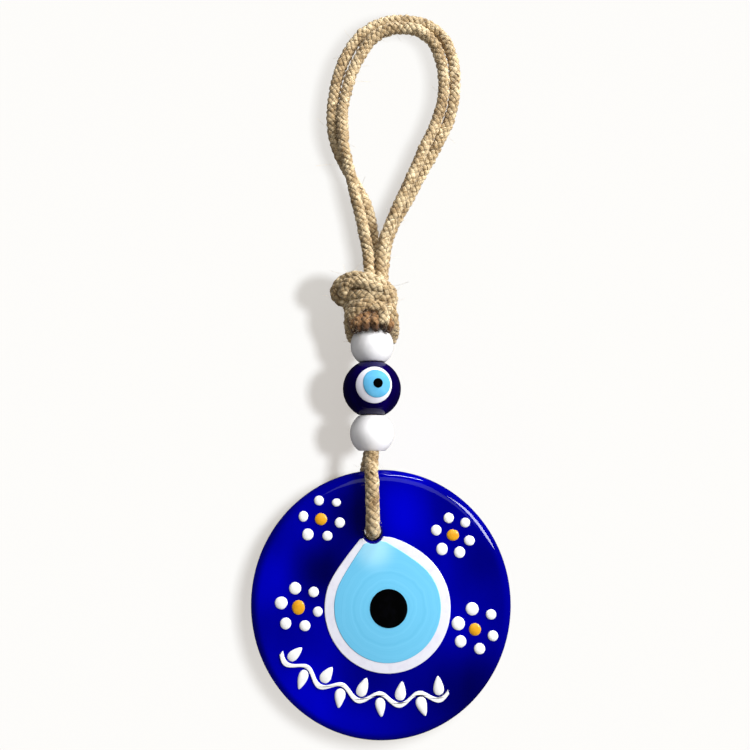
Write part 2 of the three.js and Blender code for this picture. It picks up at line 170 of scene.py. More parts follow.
class Growth(Bench):
    """A Geometry Nodes tree with named inputs for its sizes."""

    def __init__(self, name: str) -> None:
        """Starts an empty tree with a geometry going in and one coming out."""
        super().__init__(bpy.data.node_groups.new(name, "GeometryNodeTree"))
        sockets = self.tree.interface
        sockets.new_socket("Geometry", in_out="INPUT", socket_type="NodeSocketGeometry")
        sockets.new_socket("Geometry", in_out="OUTPUT", socket_type="NodeSocketGeometry")
        self.entry = self.tree.nodes.new("NodeGroupInput")
        self.exit = self.tree.nodes.new("NodeGroupOutput")

    @property
    def source(self) -> bpy.types.NodeSocket:
        """The geometry that the tree works on."""
        return self.entry.outputs["Geometry"]

    def size(self, name: str, kind: str = "NodeSocketFloat") -> bpy.types.NodeSocket:
        """Adds a named input and returns its socket."""
        self.tree.interface.new_socket(name, in_out="INPUT", socket_type=kind)
        return self.entry.outputs[name]

    def store(self, geometry: object, name: str, value: object) -> bpy.types.NodeSocket:
        """Keeps a number at each point under a name that materials read."""
        node = self.add(
            "GeometryNodeStoreNamedAttribute",
            {"Geometry": geometry, "Name": name, "Value": value},
            data_type="FLOAT",
            domain="POINT",
        )
        return node.outputs["Geometry"]

    def finish(self, geometry: bpy.types.NodeSocket) -> None:
        """Makes the geometry real, smooth and dressed, and hands it out."""
        material = self.size("Material", "NodeSocketMaterial")
        real = self.out("GeometryNodeRealizeInstances", {"Geometry": geometry})
        smooth = self.out("GeometryNodeSetShadeSmooth", {"Geometry": real})
        dressed = self.add("GeometryNodeSetMaterial", {"Geometry": smooth, "Material": material})
        self.tree.links.new(dressed.outputs[0], self.exit.inputs["Geometry"])

    def grow(self, name: str, seed_mesh: bpy.types.Mesh, sizes: dict) -> bpy.types.Object:
        """Runs the tree on a mesh and keeps the result as a plain mesh.

        Args:
            name: The new piece's name.
            seed_mesh: The mesh that the tree starts from.
            sizes: The tree's inputs by name.

        Returns:
            The new piece, with no modifier left on it.
        """
        source = put(name + "_seed", seed_mesh)
        modifier = source.modifiers.new(self.tree.name, "NODES")
        modifier.node_group = self.tree
        for item in self.tree.interface.items_tree:
            if item.in_out == "INPUT" and item.name in sizes:
                modifier[item.identifier] = sizes[item.name]
        depsgraph = bpy.context.evaluated_depsgraph_get()
        grown = source.evaluated_get(depsgraph)
        mesh = bpy.data.meshes.new_from_object(grown, preserve_all_data_layers=True, depsgraph=depsgraph)
        source.modifiers.remove(modifier)
        bpy.data.objects.remove(source)
        mesh.name = name
        return put(name, mesh)


# ---------------------------------------------------------------- finishes


@dataclass(frozen=True)
class Finish:
    """What every finish has: a name, a roughness and a slot name."""

    name: str
    slot: str
    roughness: float

    def start(self) -> tuple[Bench, bpy.types.Node, bpy.types.Material]:
        """Makes a material with one Principled shader.

        Returns:
            Its bench, the shader and the material.
        """
        material = bpy.data.materials.new(self.name)
        material.use_nodes = True
        shader = material.node_tree.nodes["Principled BSDF"]
        shader.inputs["Roughness"].default_value = self.roughness
        return Bench(material.node_tree), shader, material

    @staticmethod
    def ramp(bench: Bench, factor: object, stops: Sequence[tuple[float, Colour]]) -> object:
        """A colour ramp on a factor.

        Args:
            bench: The bench to build on.
            factor: The socket that drives it.
            stops: Positions and linear colours, in order.

        Returns:
            The ramp's colour socket.
        """
        node = bench.add("ShaderNodeValToRGB", {"Fac": factor})
        marks = node.color_ramp.elements
        while len(marks) < len(stops):
            marks.new(0.5)
        for mark, (position, colour) in zip(marks, stops):
            mark.position = position
            mark.color = (*colour, 1.0)
        return node.outputs["Color"]

    @staticmethod
    def blend(bench: Bench, factor: object, one: object, other: object, how: str = "MIX") -> object:
        """Mixes two colours.

        Args:
            bench: The bench to build on.
            factor: How much of the second.
            one: The first colour, a socket or a colour.
            other: The second one.
            how: The blending mode.

        Returns:
            The mixed colour's socket.
        """
        node = bench.add("ShaderNodeMix", data_type="RGBA", blend_type=how)
        for index, value in ((0, factor), (6, one), (7, other)):
            if isinstance(value, bpy.types.NodeSocket):
                bench.tree.links.new(value, node.inputs[index])
            else:
                node.inputs[index].default_value = value if index == 0 else (*value, 1.0)
        return node.outputs[2]

    @staticmethod
    def noise(bench: Bench, vector: object, scale: float, detail: float = 2.0) -> object:
        """A noise between 0 and 1 on a vector."""
        node = bench.add("ShaderNodeTexNoise", {"Vector": vector, "Scale": scale, "Detail": detail})
        return node.outputs[0]

    @staticmethod
    def bump(bench: Bench, shader: object, height: object, distance: float, strength: float) -> None:
        """Feeds a height to the shader's normal."""
        node = bench.add("ShaderNodeBump", {"Height": height, "Distance": distance, "Strength": strength})
        bench.tree.links.new(node.outputs[0], shader.inputs["Normal"])


@dataclass(frozen=True)
class JuteFinish(Finish):
    """Spun jute: straw coloured fibres, with painted shade that darkens the hollows between the yarns."""

    painted_hollow_shade: Colour = (0.028, 0.013, 0.004)
    tan: Colour = (0.15, 0.085, 0.034)
    straw: Colour = (0.36, 0.245, 0.12)
    cream: Colour = (0.78, 0.64, 0.41)
    fibre_length: float = 4.0 * MM
    fibres_around: float = 9.0
    sheen: float = 0.25

    def material(self) -> bpy.types.Material:
        """Builds the material from the yarns' own attributes."""
        bench, shader, material = self.start()
        along, around, yarn, height = (
            bench.add("ShaderNodeAttribute", attribute_name=name).outputs["Fac"]
            for name in ("along", "around", "yarn", "height")
        )
        lean = bench.math("MULTIPLY_ADD", along, 260.0, bench.math("MULTIPLY", around, self.fibres_around))
        course = bench.math("MULTIPLY_ADD", yarn, 3.7, bench.math("MULTIPLY", along, 1 / self.fibre_length))
        lie = bench.out("ShaderNodeCombineXYZ", {0: course, 1: lean, 2: yarn})
        fibres = self.noise(bench, lie, 1.0, 4.0)
        place = bench.here()
        patches = self.noise(bench, place, 210.0, 2.0)
        tone = bench.math("MULTIPLY_ADD", patches, 0.45, bench.math("MULTIPLY", fibres, 0.75))
        straw = self.ramp(
            bench, tone, ((0.38, self.tan), (0.56, self.straw), (0.74, self.cream))
        )
        # Painted shade: the lower a point lies between the yarns, the more of the dark hollow colour it takes.
        lift = bench.out(
            "ShaderNodeMapRange", {"Value": height, "From Min": 0.2, "From Max": 0.85}
        )
        colour = self.blend(bench, lift, self.painted_hollow_shade, straw)
        bench.tree.links.new(colour, shader.inputs["Base Color"])
        shader.inputs["Sheen Weight"].default_value = self.sheen
        shader.inputs["Sheen Roughness"].default_value = 0.5
        shader.inputs["Specular IOR Level"].default_value = 0.2
        self.bump(bench, shader, fibres, 0.12 * MM, 0.8)
        return material


@dataclass(frozen=True)
class FibreFinish(Finish):
    """Single loose jute hairs."""

    pale: Colour = (0.86, 0.74, 0.52)
    brown: Colour = (0.60, 0.42, 0.20)

    def material(self) -> bpy.types.Material:
        """Builds the material, paler and browner from hair to hair."""
        bench, shader, material = self.start()
        place = bench.here()
        mixed = self.noise(bench, place, 700.0, 1.0)
        colour = self.ramp(bench, mixed, ((0.35, self.brown), (0.6, self.pale)))
        bench.tree.links.new(colour, shader.inputs["Base Color"])
        shader.inputs["Sheen Weight"].default_value = 0.3
        return material


@dataclass(frozen=True)
class GlassFinish(Finish):
    """Poured glass: a body colour with slow swirls and a polished skin."""

    deep: Colour = (0.0, 0.0, 0.02)
    body: Colour = (0.0, 0.0, 0.3)
    bright: Colour = (0.0, 0.0, 0.6)
    swirl: float = 45.0
    gloss: float = 0.5

    def material(self) -> bpy.types.Material:
        """Builds the material on the glass's own coordinates."""
        bench, shader, material = self.start()
        place = bench.here()
        tone = self.tone(bench, place)
        colour = self.ramp(bench, tone, ((0.0, self.deep), (0.5, self.body), (1.0, self.bright)))
        bench.tree.links.new(colour, shader.inputs["Base Color"])
        shader.inputs["Specular IOR Level"].default_value = self.gloss
        shader.inputs["IOR"].default_value = 1.52
        ripple = self.noise(bench, place, 60.0, 2.0)
        self.bump(bench, shader, ripple, 0.5 * MM, 0.12)
        return material

    def tone(self, bench: Bench, place: object) -> object:
        """How bright the glass is at a place, from 0 to 1."""
        turned = bench.out(
            "ShaderNodeMapping", {"Vector": place, "Rotation": (0.0, 0.5, 0.0), "Scale": (1.0, 1.0, 0.35)}
        )
        return self.noise(bench, turned, self.swirl, 3.0)


@dataclass(frozen=True)
class PaintedPatch:
    """A soft patch of painted light on the disc, or of painted shade where its strength is negative."""

    u: float
    v: float
    reach: float
    strength: float


@dataclass(frozen=True)
class CobaltFinish(GlassFinish):
    """Cobalt glass: slow streaks, with bright patches of painted light and dark patches of painted shade."""

    middle: Point = (0.0, 0.0, 0.0)
    lean: float = 0.0
    painted_light_and_shade: tuple[PaintedPatch, ...] = ()

    def tone(self, bench: Bench, place: object) -> object:
        """Streaks over the disc, with the patches of painted light and painted shade added on."""
        streaks = super().tone(bench, place)
        flat = bench.vector("MULTIPLY", bench.vector("SUBTRACT", place, self.middle), (1.0, 0.0, 1.0))
        tone = bench.math("MULTIPLY_ADD", streaks, 0.55, 0.225)
        turn = math.radians(self.lean)
        # Each patch adds painted light to the tone, or painted shade where its strength is negative.
        for glow in self.painted_light_and_shade:
            x = glow.u * math.cos(turn) + glow.v * math.sin(turn)
            z = glow.v * math.cos(turn) - glow.u * math.sin(turn)
            away = bench.vector("DISTANCE", flat, (x * MM, 0.0, z * MM))
            patch = bench.out(
                "ShaderNodeMapRange",
                {"Value": away, "From Max": glow.reach * 2 * MM, "To Min": glow.strength, "To Max": 0.0},
                interpolation_type="SMOOTHERSTEP",
            )
            tone = bench.math("ADD", tone, patch)
        return tone


@dataclass(frozen=True)
class EnamelFinish(Finish):
    """Fired enamel: an even colour, a little thicker and thinner in a light mottle, with a soft gloss."""

    thick: Colour = (0.93, 0.93, 0.92)
    thin: Colour = (0.80, 0.80, 0.84)
    coat: float = 0.3

    def material(self) -> bpy.types.Material:
        """Builds the material with a light mottle."""
        bench, shader, material = self.start()
        place = bench.here()
        mottle = self.noise(bench, place, 380.0, 3.0)
        colour = self.ramp(bench, mottle, ((0.25, self.thin), (0.5, self.thick)))
        bench.tree.links.new(colour, shader.inputs["Base Color"])
        shader.inputs["Coat Weight"].default_value = self.coat
        shader.inputs["Specular IOR Level"].default_value = self.coat
        shader.inputs["Coat Roughness"].default_value = 0.12
        self.bump(bench, shader, mottle, 0.08 * MM, 0.4)
        return material


@dataclass(frozen=True)
class PoolFinish(Finish):
    """A pool of pale glass with faint rings round the pupil and a paler crown."""

    base: Colour = (0.135, 0.50, 0.76)
    ring: Colour = (0.17, 0.56, 0.82)
    crown: Colour = (0.40, 0.76, 0.93)
    middle: Point = (0.0, 0.0, 0.0)
    crown_place: Point = (0.0, 0.0, 0.0)
    crown_reach: float = 9.0 * MM

    def material(self) -> bpy.types.Material:
        """Builds the material."""
        bench, shader, material = self.start()
        place = bench.here()
        drift = bench.math("MULTIPLY", self.noise(bench, place, 160.0, 2.0), 2.2 * MM)
        out = bench.math("ADD", bench.vector("DISTANCE", place, self.middle), drift)
        rings = self.noise(bench, bench.out("ShaderNodeCombineXYZ", {0: out}), 900.0, 2.0)
        colour = self.ramp(bench, rings, ((0.35, self.base), (0.72, self.ring)))
        near = bench.out(
            "ShaderNodeMapRange",
            {
                "Value": bench.vector("DISTANCE", place, self.crown_place),
                "From Max": self.crown_reach,
                "To Min": 0.75,
                "To Max": 0.0,
            },
            interpolation_type="SMOOTHERSTEP",
        )
        bench.tree.links.new(self.blend(bench, near, colour, self.crown), shader.inputs["Base Color"])
        shader.inputs["Specular IOR Level"].default_value = 0.3
        return material


JUTE = JuteFinish("spun_jute", "jute_cord", 0.92)
# A darker, browner copy of the jute: painted shade for the strands deep inside the knot.
SHADED_JUTE = JuteFinish(
    "inner_jute_painted_shade", "jute_cord", 0.95,
    painted_hollow_shade=(0.07, 0.03, 0.01), tan=(0.10, 0.045, 0.016), straw=(0.22, 0.11, 0.042), cream=(0.40, 0.24, 0.11),
)
LOOSE_FIBRE = FibreFinish("loose_jute_fibre", "jute_cord", 0.8)
WHITE_FUSED = EnamelFinish("fused_white_glass", "white_glass", 0.14, (0.76, 0.76, 0.84), (0.70, 0.69, 0.79))
SKY_FUSED = EnamelFinish(
    "lampwork_sky_glass", "sky_glass", 0.2, (0.10, 0.38, 0.62), (0.13, 0.43, 0.67), coat=0.0
)
BLACK_FUSED = EnamelFinish(
    "fused_black_glass", "black_glass", 0.2, (0.001, 0.001, 0.001), (0.002, 0.002, 0.003), coat=0.0
)
BEAD_WHITE = EnamelFinish(
    "white_bead_glass", "white_bead_glass", 0.36, (0.90, 0.89, 0.90), (0.84, 0.83, 0.85)
)
BEAD_COBALT = GlassFinish(
    "lampwork_cobalt", "cobalt_glass", 0.08,
    deep=(0.0, 0.0, 0.006), body=(0.002, 0.0, 0.04), bright=(0.006, 0.0, 0.16), swirl=120.0, gloss=0.18,
)
ENAMEL_WHITE = EnamelFinish("white_enamel", "white_enamel", 0.32)
ENAMEL_YELLOW = EnamelFinish(
    "yellow_enamel", "yellow_enamel", 0.34, (0.76, 0.36, 0.012), (0.66, 0.27, 0.008)
)

# ---------------------------------------------------------------- mesh helpers


def put(name: str, mesh: bpy.types.Mesh) -> bpy.types.Object:
    """Puts a mesh in the scene as an object at the origin."""
    piece = bpy.data.objects.new(name, mesh)
    bpy.context.scene.collection.objects.link(piece)
    return piece


def mesh_of(name: str, points: Sequence, faces: Sequence, edges: Sequence = ()) -> bpy.types.Mesh:
    """Makes a smooth mesh.

    Args:
        name: Its name.
        points: Its points.
        faces: Its faces, as indices.
        edges: Loose edges, for a line.

    Returns:
        The mesh.
    """
    mesh = bpy.data.meshes.new(name)
    mesh.from_pydata([tuple(map(float, p)) for p in points], edges, faces)
    mesh.shade_smooth()
    mesh.update()
    return mesh


def face_out(mesh: bpy.types.Mesh) -> bpy.types.Mesh:
    """Turns the faces of a closed mesh outwards."""
    work = bmesh.new()
    work.from_mesh(mesh)
    bmesh.ops.recalc_face_normals(work, faces=work.faces)
    work.to_mesh(mesh)
    work.free()
    return mesh


def ring_faces(rings: int, around: int, closed: bool = False) -> list[tuple[int, ...]]:
    """The quads between rings of points.

    Args:
        rings: How many rings.
        around: Points in each.
        closed: Whether the last ring joins the first.

    Returns:
        The faces.
    """
    faces = []
    for i in range(rings if closed else rings - 1):
        here, there = i * around, (i + 1) % rings * around
        for k in range(around):
            next_k = (k + 1) % around
            faces.append((here + k, here + next_k, there + next_k, there + k))
    return faces


def smooth_line(route: Route, step: float) -> np.ndarray:
    """A centripetal Catmull-Rom line through a route.

    Args:
        route: The points it passes, in metres.
        step: The distance between the points it gives.

    Returns:
        Evenly spaced points.
    """
    p = np.array(route, float)
    p = np.vstack([2 * p[0] - p[1], p, 2 * p[-1] - p[-2]])
    fine = []
    for i in range(len(p) - 3):
        a, b, c, d = p[i : i + 4]
        t0 = 0.0
        t1 = t0 + math.sqrt(np.linalg.norm(b - a))
        t2 = t1 + math.sqrt(np.linalg.norm(c - b))
        t3 = t2 + math.sqrt(np.linalg.norm(d - c))
        for t in np.linspace(t1, t2, 24, endpoint=False):
            a1 = (t1 - t) / (t1 - t0) * a + (t - t0) / (t1 - t0) * b
            a2 = (t2 - t) / (t2 - t1) * b + (t - t1) / (t2 - t1) * c
            a3 = (t3 - t) / (t3 - t2) * c + (t - t2) / (t3 - t2) * d
            b1 = (t2 - t) / (t2 - t0) * a1 + (t - t0) / (t2 - t0) * a2
            b2 = (t3 - t) / (t3 - t1) * a2 + (t - t1) / (t3 - t1) * a3
            fine.append((t2 - t) / (t2 - t1) * b1 + (t - t1) / (t2 - t1) * b2)
    fine = np.vstack([fine, p[-2]])
    along = np.concatenate([[0], np.cumsum(np.linalg.norm(np.diff(fine, axis=0), axis=1))])
    at = np.linspace(0, along[-1], max(2, round(along[-1] / step) + 1))
    return np.stack([np.interp(at, along, fine[:, k]) for k in range(3)], axis=1)


def laid_line(route: Route) -> np.ndarray:
    """The smooth line, in metres, through a route given in millimetres."""
    return smooth_line([tuple(c * MM for c in p) for p in route], ROUTE_STEP)


def line_mesh(line: np.ndarray) -> bpy.types.Mesh:
    """A line of loose edges."""
    return mesh_of("line", line, [], [(i, i + 1) for i in range(len(line) - 1)])


def length_of(line: np.ndarray) -> float:
    """How long a line is."""
    return float(np.linalg.norm(np.diff(line, axis=0), axis=1).sum())


def arc(centre: tuple[float, float], radius: float, start: float, end: float, steps: int) -> Outline:
    """Points of a round arc, angles in degrees."""
    turns = [math.radians(start + (end - start) * i / steps) for i in range(steps + 1)]
    return [(centre[0] + radius * math.cos(t), centre[1] + radius * math.sin(t)) for t in turns]


def quarter(steps: int) -> list[float]:
    """The angles of a quarter turn, in radians."""
    return [math.pi / 2 * i / steps for i in range(steps + 1)]


def turned(profile: Outline, segments: int, centre: Vector) -> bpy.types.Mesh:
    """A ring-shaped solid of revolution about an upright axis.

    Args:
        profile: Its closed section, as distance from the axis and height.
        segments: Steps around.
        centre: The place of its middle.

    Returns:
        The mesh, faces outwards.
    """
    points = []
    for reach, height in profile:
        for k in range(segments):
            turn = 2 * math.pi * k / segments
            points.append(centre + Vector((reach * math.cos(turn), reach * math.sin(turn), height)))
    return face_out(mesh_of("turned", points, ring_faces(len(profile), segments, closed=True)))


def dress(piece: bpy.types.Object, material: bpy.types.Material) -> bpy.types.Object:
    """Gives a piece its material."""
    piece.data.materials.clear()
    piece.data.materials.append(material)
    return piece


# ---------------------------------------------------------------- jute cord


class BraidGrowth(Growth):
    """A round braid of eight yarns on a line, four turning each way, with a core inside."""

    def __init__(self) -> None:
        """Builds the tree."""
        super().__init__("round_braid")
        step = self.size("Step")
        lay = self.size("Lay")
        ring = self.size("Ring radius")
        weave = self.size("Weave depth")
        width = self.size("Yarn width")
        thickness = self.size("Yarn thickness")
        phase = self.size("Phase")
        stray = self.size("Stray")
        taper = self.size("Taper")
        curve = self.out("GeometryNodeMeshToCurve", {"Mesh": self.source})
        even = self.out("GeometryNodeResampleCurve", {"Curve": curve, "Length": step}, mode="LENGTH")
        along = self.add("GeometryNodeSplineParameter").outputs["Length"]
        kept = self.capture(
            even,
            along=("FLOAT", along),
            axis=("VECTOR", self.out("GeometryNodeInputPosition")),
            normal=("VECTOR", self.out("GeometryNodeInputNormal")),
            tangent=("VECTOR", self.out("GeometryNodeInputTangent")),
            total=("FLOAT", self.add("GeometryNodeSplineLength").outputs["Length"]),
        )
        yarns = self.add(
            "GeometryNodeDuplicateElements", {"Geometry": kept["geometry"], "Amount": 8}, domain="SPLINE"
        )
        counted = self.capture(yarns.outputs["Geometry"], yarn=("FLOAT", yarns.outputs["Duplicate Index"]))
        second_four = self.math("FLOOR", self.math("DIVIDE", counted["yarn"], 4.0))
        way = self.math("MULTIPLY_ADD", second_four, -2.0, 1.0)
        turns = self.math("DIVIDE", kept["along"], lay)
        spin = self.math("MULTIPLY", self.math("MULTIPLY", turns, 2 * math.pi), way)
        angle = self.math("ADD", self.math("MULTIPLY_ADD", counted["yarn"], math.pi / 2, phase), spin)
        over = self.math("MULTIPLY", self.math("COSINE", self.math("MULTIPLY", turns, 8 * math.pi)), way)
        left = self.math("SUBTRACT", kept["total"], kept["along"])
        nearest_end = self.math("MINIMUM", left, kept["along"])
        ends = self.math("DIVIDE", nearest_end, self.math("MAXIMUM", taper, 1e-6))
        girth = self.out(
            "ShaderNodeMapRange",
            {"Value": ends, "To Min": 0.3, "To Max": 1.0},
            interpolation_type="SMOOTHSTEP",
        )
        reach = self.math("MULTIPLY", self.math("MULTIPLY_ADD", over, weave, ring), girth)
        side = self.vector("CROSS_PRODUCT", kept["tangent"], kept["normal"])
        outward = self.vector(
            "ADD",
            self.vector("SCALE", kept["normal"], scale=self.math("COSINE", angle)),
            self.vector("SCALE", side, scale=self.math("SINE", angle)),
        )
        place = self.vector("ADD", kept["axis"], self.vector("SCALE", outward, scale=reach))
        drift = self.add("ShaderNodeTexNoise", {"Vector": place, "Scale": 430.0, "Detail": 1.0}).outputs[1]
        drift = self.vector("SCALE", self.vector("SUBTRACT", drift, (0.5, 0.5, 0.5)), scale=stray)
        place = self.vector("ADD", place, drift)
        laid = self.out("GeometryNodeSetPosition", {"Geometry": counted["geometry"], "Position": place})
        drawn = self.out("GeometryNodeSetCurveRadius", {"Curve": laid, "Radius": girth})
        aimed = self.out("GeometryNodeSetCurveNormal", {"Curve": drawn, "Normal": outward}, mode="FREE")
        circle = self.out("GeometryNodeCurvePrimitiveCircle", {"Resolution": 8, "Radius": 0.5})
        flat = self.out("ShaderNodeCombineXYZ", {0: thickness, 1: width, 2: 1.0})
        section = self.out("GeometryNodeTransform", {"Geometry": circle, "Scale": flat})
        turned_about = self.capture(
            section, around=("FLOAT", self.add("GeometryNodeSplineParameter").outputs["Factor"])
        )
        body = self.out(
            "GeometryNodeCurveToMesh",
            {"Curve": aimed, "Profile Curve": turned_about["geometry"], "Fill Caps": True},
        )
        now = self.out("GeometryNodeInputPosition")
        low = self.math("SUBTRACT", ring, weave)
        high = self.math("ADD", self.math("ADD", ring, weave), self.math("MULTIPLY", thickness, 0.5))
        out = self.vector("DISTANCE", now, kept["axis"])
        height = self.math("DIVIDE", self.math("SUBTRACT", out, low), self.math("SUBTRACT", high, low))
        for name, value in (
            ("along", kept["along"]),
            ("around", turned_about["around"]),
            ("yarn", counted["yarn"]),
            ("height", height),
        ):
            body = self.store(body, name, value)
        # The core stores no height, so the jute material reads nought there and gives it only the painted hollow
        # shade.
        core_ring = self.out("GeometryNodeCurvePrimitiveCircle", {"Resolution": 10, "Radius": low})
        core = self.out(
            "GeometryNodeCurveToMesh",
            {"Curve": kept["geometry"], "Profile Curve": core_ring, "Fill Caps": True},
        )
        core = self.store(core, "along", kept["along"])
        both = self.add("GeometryNodeJoinGeometry")
        self.tree.links.new(body, both.inputs[0])
        self.tree.links.new(core, both.inputs[0])
        self.finish(both.outputs[0])

    def capture(self, geometry: object, **values: tuple[str, object]) -> dict:
        """Holds values at the geometry's points as they are now.

        Args:
            geometry: The geometry to hold them on.
            values: For each name, a type and a socket.

        Returns:
            The sockets by name, and the geometry.
        """
        node = self.add("GeometryNodeCaptureAttribute", {"Geometry": geometry})
        for name, (kind, value) in values.items():
            node.capture_items.new(kind, name)
            self.tree.links.new(value, node.inputs[name])
        return {"geometry": node.outputs["Geometry"], **{name: node.outputs[name] for name in values}}


class FuzzGrowth(Growth):
    """Loose fibres standing off a cord's surface."""

    def __init__(self) -> None:
        """Builds the tree."""
        super().__init__("loose_fibres")
        density = self.size("Density")
        short = self.size("Short")
        longest = self.size("Longest")
        thickness = self.size("Thickness")
        lift = self.size("Lift")
        seed = self.size("Seed", "NodeSocketInt")
        spread = self.add(
            "GeometryNodeDistributePointsOnFaces", {"Mesh": self.source, "Density": density, "Seed": seed}
        )
        bow = self.out(
            "GeometryNodeCurveQuadraticBezier",
            {
                "Resolution": 4,
                "Start": (0.0, 0.0, 0.0),
                "Middle": (0.45, 0.1, 0.05),
                "End": (0.95, -0.08, 0.34),
            },
        )
        section = self.out(
            "GeometryNodeCurvePrimitiveCircle",
            {"Resolution": 3, "Radius": self.math("DIVIDE", thickness, short)},
        )
        hair = self.out(
            "GeometryNodeCurveToMesh", {"Curve": bow, "Profile Curve": section, "Fill Caps": True}
        )
        negative = self.math("MULTIPLY", lift, -1.0)
        tilt = self.out(
            "FunctionNodeRandomValue",
            {
                0: self.out("ShaderNodeCombineXYZ", {0: negative, 1: negative, 2: 0.0}),
                1: self.out("ShaderNodeCombineXYZ", {0: lift, 1: lift, 2: 2 * math.pi}),
                "Seed": seed,
            },
            data_type="FLOAT_VECTOR",
        )
        turn = self.out("FunctionNodeEulerToRotation", {0: tilt})
        stand = self.out(
            "FunctionNodeRotateRotation",
            {"Rotation": spread.outputs["Rotation"], "Rotate By": turn},
            rotation_space="LOCAL",
        )
        share = self.add(
            "FunctionNodeRandomValue",
            {2: 0.0, 3: 1.0, "Seed": self.math("ADD", seed, 7.0)},
            data_type="FLOAT",
        ).outputs[1]
        rare = self.math("POWER", share, 45.0)
        common = self.math("MULTIPLY", short, self.math("MULTIPLY_ADD", share, 0.7, 0.5))
        long = self.math("ADD", common, self.math("MULTIPLY", rare, longest))
        bulk = self.math("SQRT", self.math("MULTIPLY", long, short))
        grown = self.out("ShaderNodeCombineXYZ", {0: long, 1: bulk, 2: bulk})
        hairs = self.out(
            "GeometryNodeInstanceOnPoints",
            {"Points": spread.outputs["Points"], "Instance": hair, "Rotation": stand, "Scale": grown},
        )
        self.finish(hairs)


@dataclass
class Cordmaker:
    """Lays braided jute along routes, with its loose fibres."""

    diameter: float = 4.1 * MM
    lay: float = 8.6 * MM
    step: float = 0.36 * MM
    stray: float = 0.9 * MM
    yarn_thickness: float = 0.185
    yarn_width: float = 0.42
    weave_depth: float = 0.42
    phase: float = 0.4
    fuzz_density: float = 1.2e5
    fuzz_short: float = 1.3 * MM
    fuzz_longest: float = 8.0 * MM
    fuzz_thickness: float = 0.014 * MM
    fuzz_lift: float = 0.28
    seed: int = 11
    braid: BraidGrowth = field(default_factory=BraidGrowth)
    fuzz: FuzzGrowth = field(default_factory=FuzzGrowth)
    jute: bpy.types.Material = field(default_factory=JUTE.material)
    shaded: bpy.types.Material = field(default_factory=SHADED_JUTE.material)
    fibre: bpy.types.Material = field(default_factory=LOOSE_FIBRE.material)

    def strand(
        self,
        name: str,
        line: np.ndarray,
        diameter: float | None = None,
        shaded: bool = False,
        taper: float = 0.0,
    ) -> bpy.types.Object:
        """Braids one strand.

        Args:
            name: The piece's name.
            line: The points it follows, in metres.
            diameter: Its outer diameter, or the usual one.
            shaded: Whether it is one of the strands deep inside the knot, which take the darker jute copy with
                painted shade.
            taper: Over what length its ends draw in.

        Returns:
            The strand.
        """
        thick = diameter or self.diameter
        yarn = self.yarn_thickness * thick
        weave = self.weave_depth * yarn
        piece = self.braid.grow(
            name,
            line_mesh(line),
            {
                "Step": self.step,
                "Lay": self.lay,
                "Ring radius": thick / 2 - weave - yarn / 2,
                "Weave depth": weave,
                "Yarn width": self.yarn_width * thick,
                "Yarn thickness": yarn,
                "Phase": self.phase,
                "Stray": self.stray,
                "Taper": taper,
                "Material": self.shaded if shaded else self.jute,
            },
        )
        return piece

    def fibres(self, strand: bpy.types.Object, share: float = 1.0) -> bpy.types.Object:
        """Grows a strand's loose fibres as a piece of their own.

        Args:
            strand: The strand they leave.
            share: How many of the usual number.

        Returns:
            The fibres.
        """
        self.seed += 1
        piece = self.fuzz.grow(
            strand.name + "_fibres",
            strand.data.copy(),
            {
                "Density": self.fuzz_density * share,
                "Short": self.fuzz_short,
                "Longest": self.fuzz_longest,
                "Thickness": self.fuzz_thickness,
                "Lift": self.fuzz_lift,
                "Seed": self.seed,
                "Material": self.fibre,
            },
        )
        return piece


def cut_out(strand: bpy.types.Object, name: str, start: float, end: float) -> bpy.types.Object:
    """Copies the stretch of a strand between two distances along it.

    Args:
        strand: The whole strand.
        name: The stretch's name.
        start: Where it starts, in metres along the strand.
        end: Where it ends.

    Returns:
        The stretch, its cut yarns capped.
    """
    work = bmesh.new()
    work.from_mesh(strand.data)
    along = work.verts.layers.float["along"]
    outside = [v for v in work.verts if not start <= v[along] <= end]
    bmesh.ops.delete(work, geom=outside, context="VERTS")
    bmesh.ops.holes_fill(work, edges=[e for e in work.edges if e.is_boundary], sides=0)
    mesh = strand.data.copy()
    work.to_mesh(mesh)
    work.free()
    mesh.name = name
    piece = put(name, mesh)
    return piece


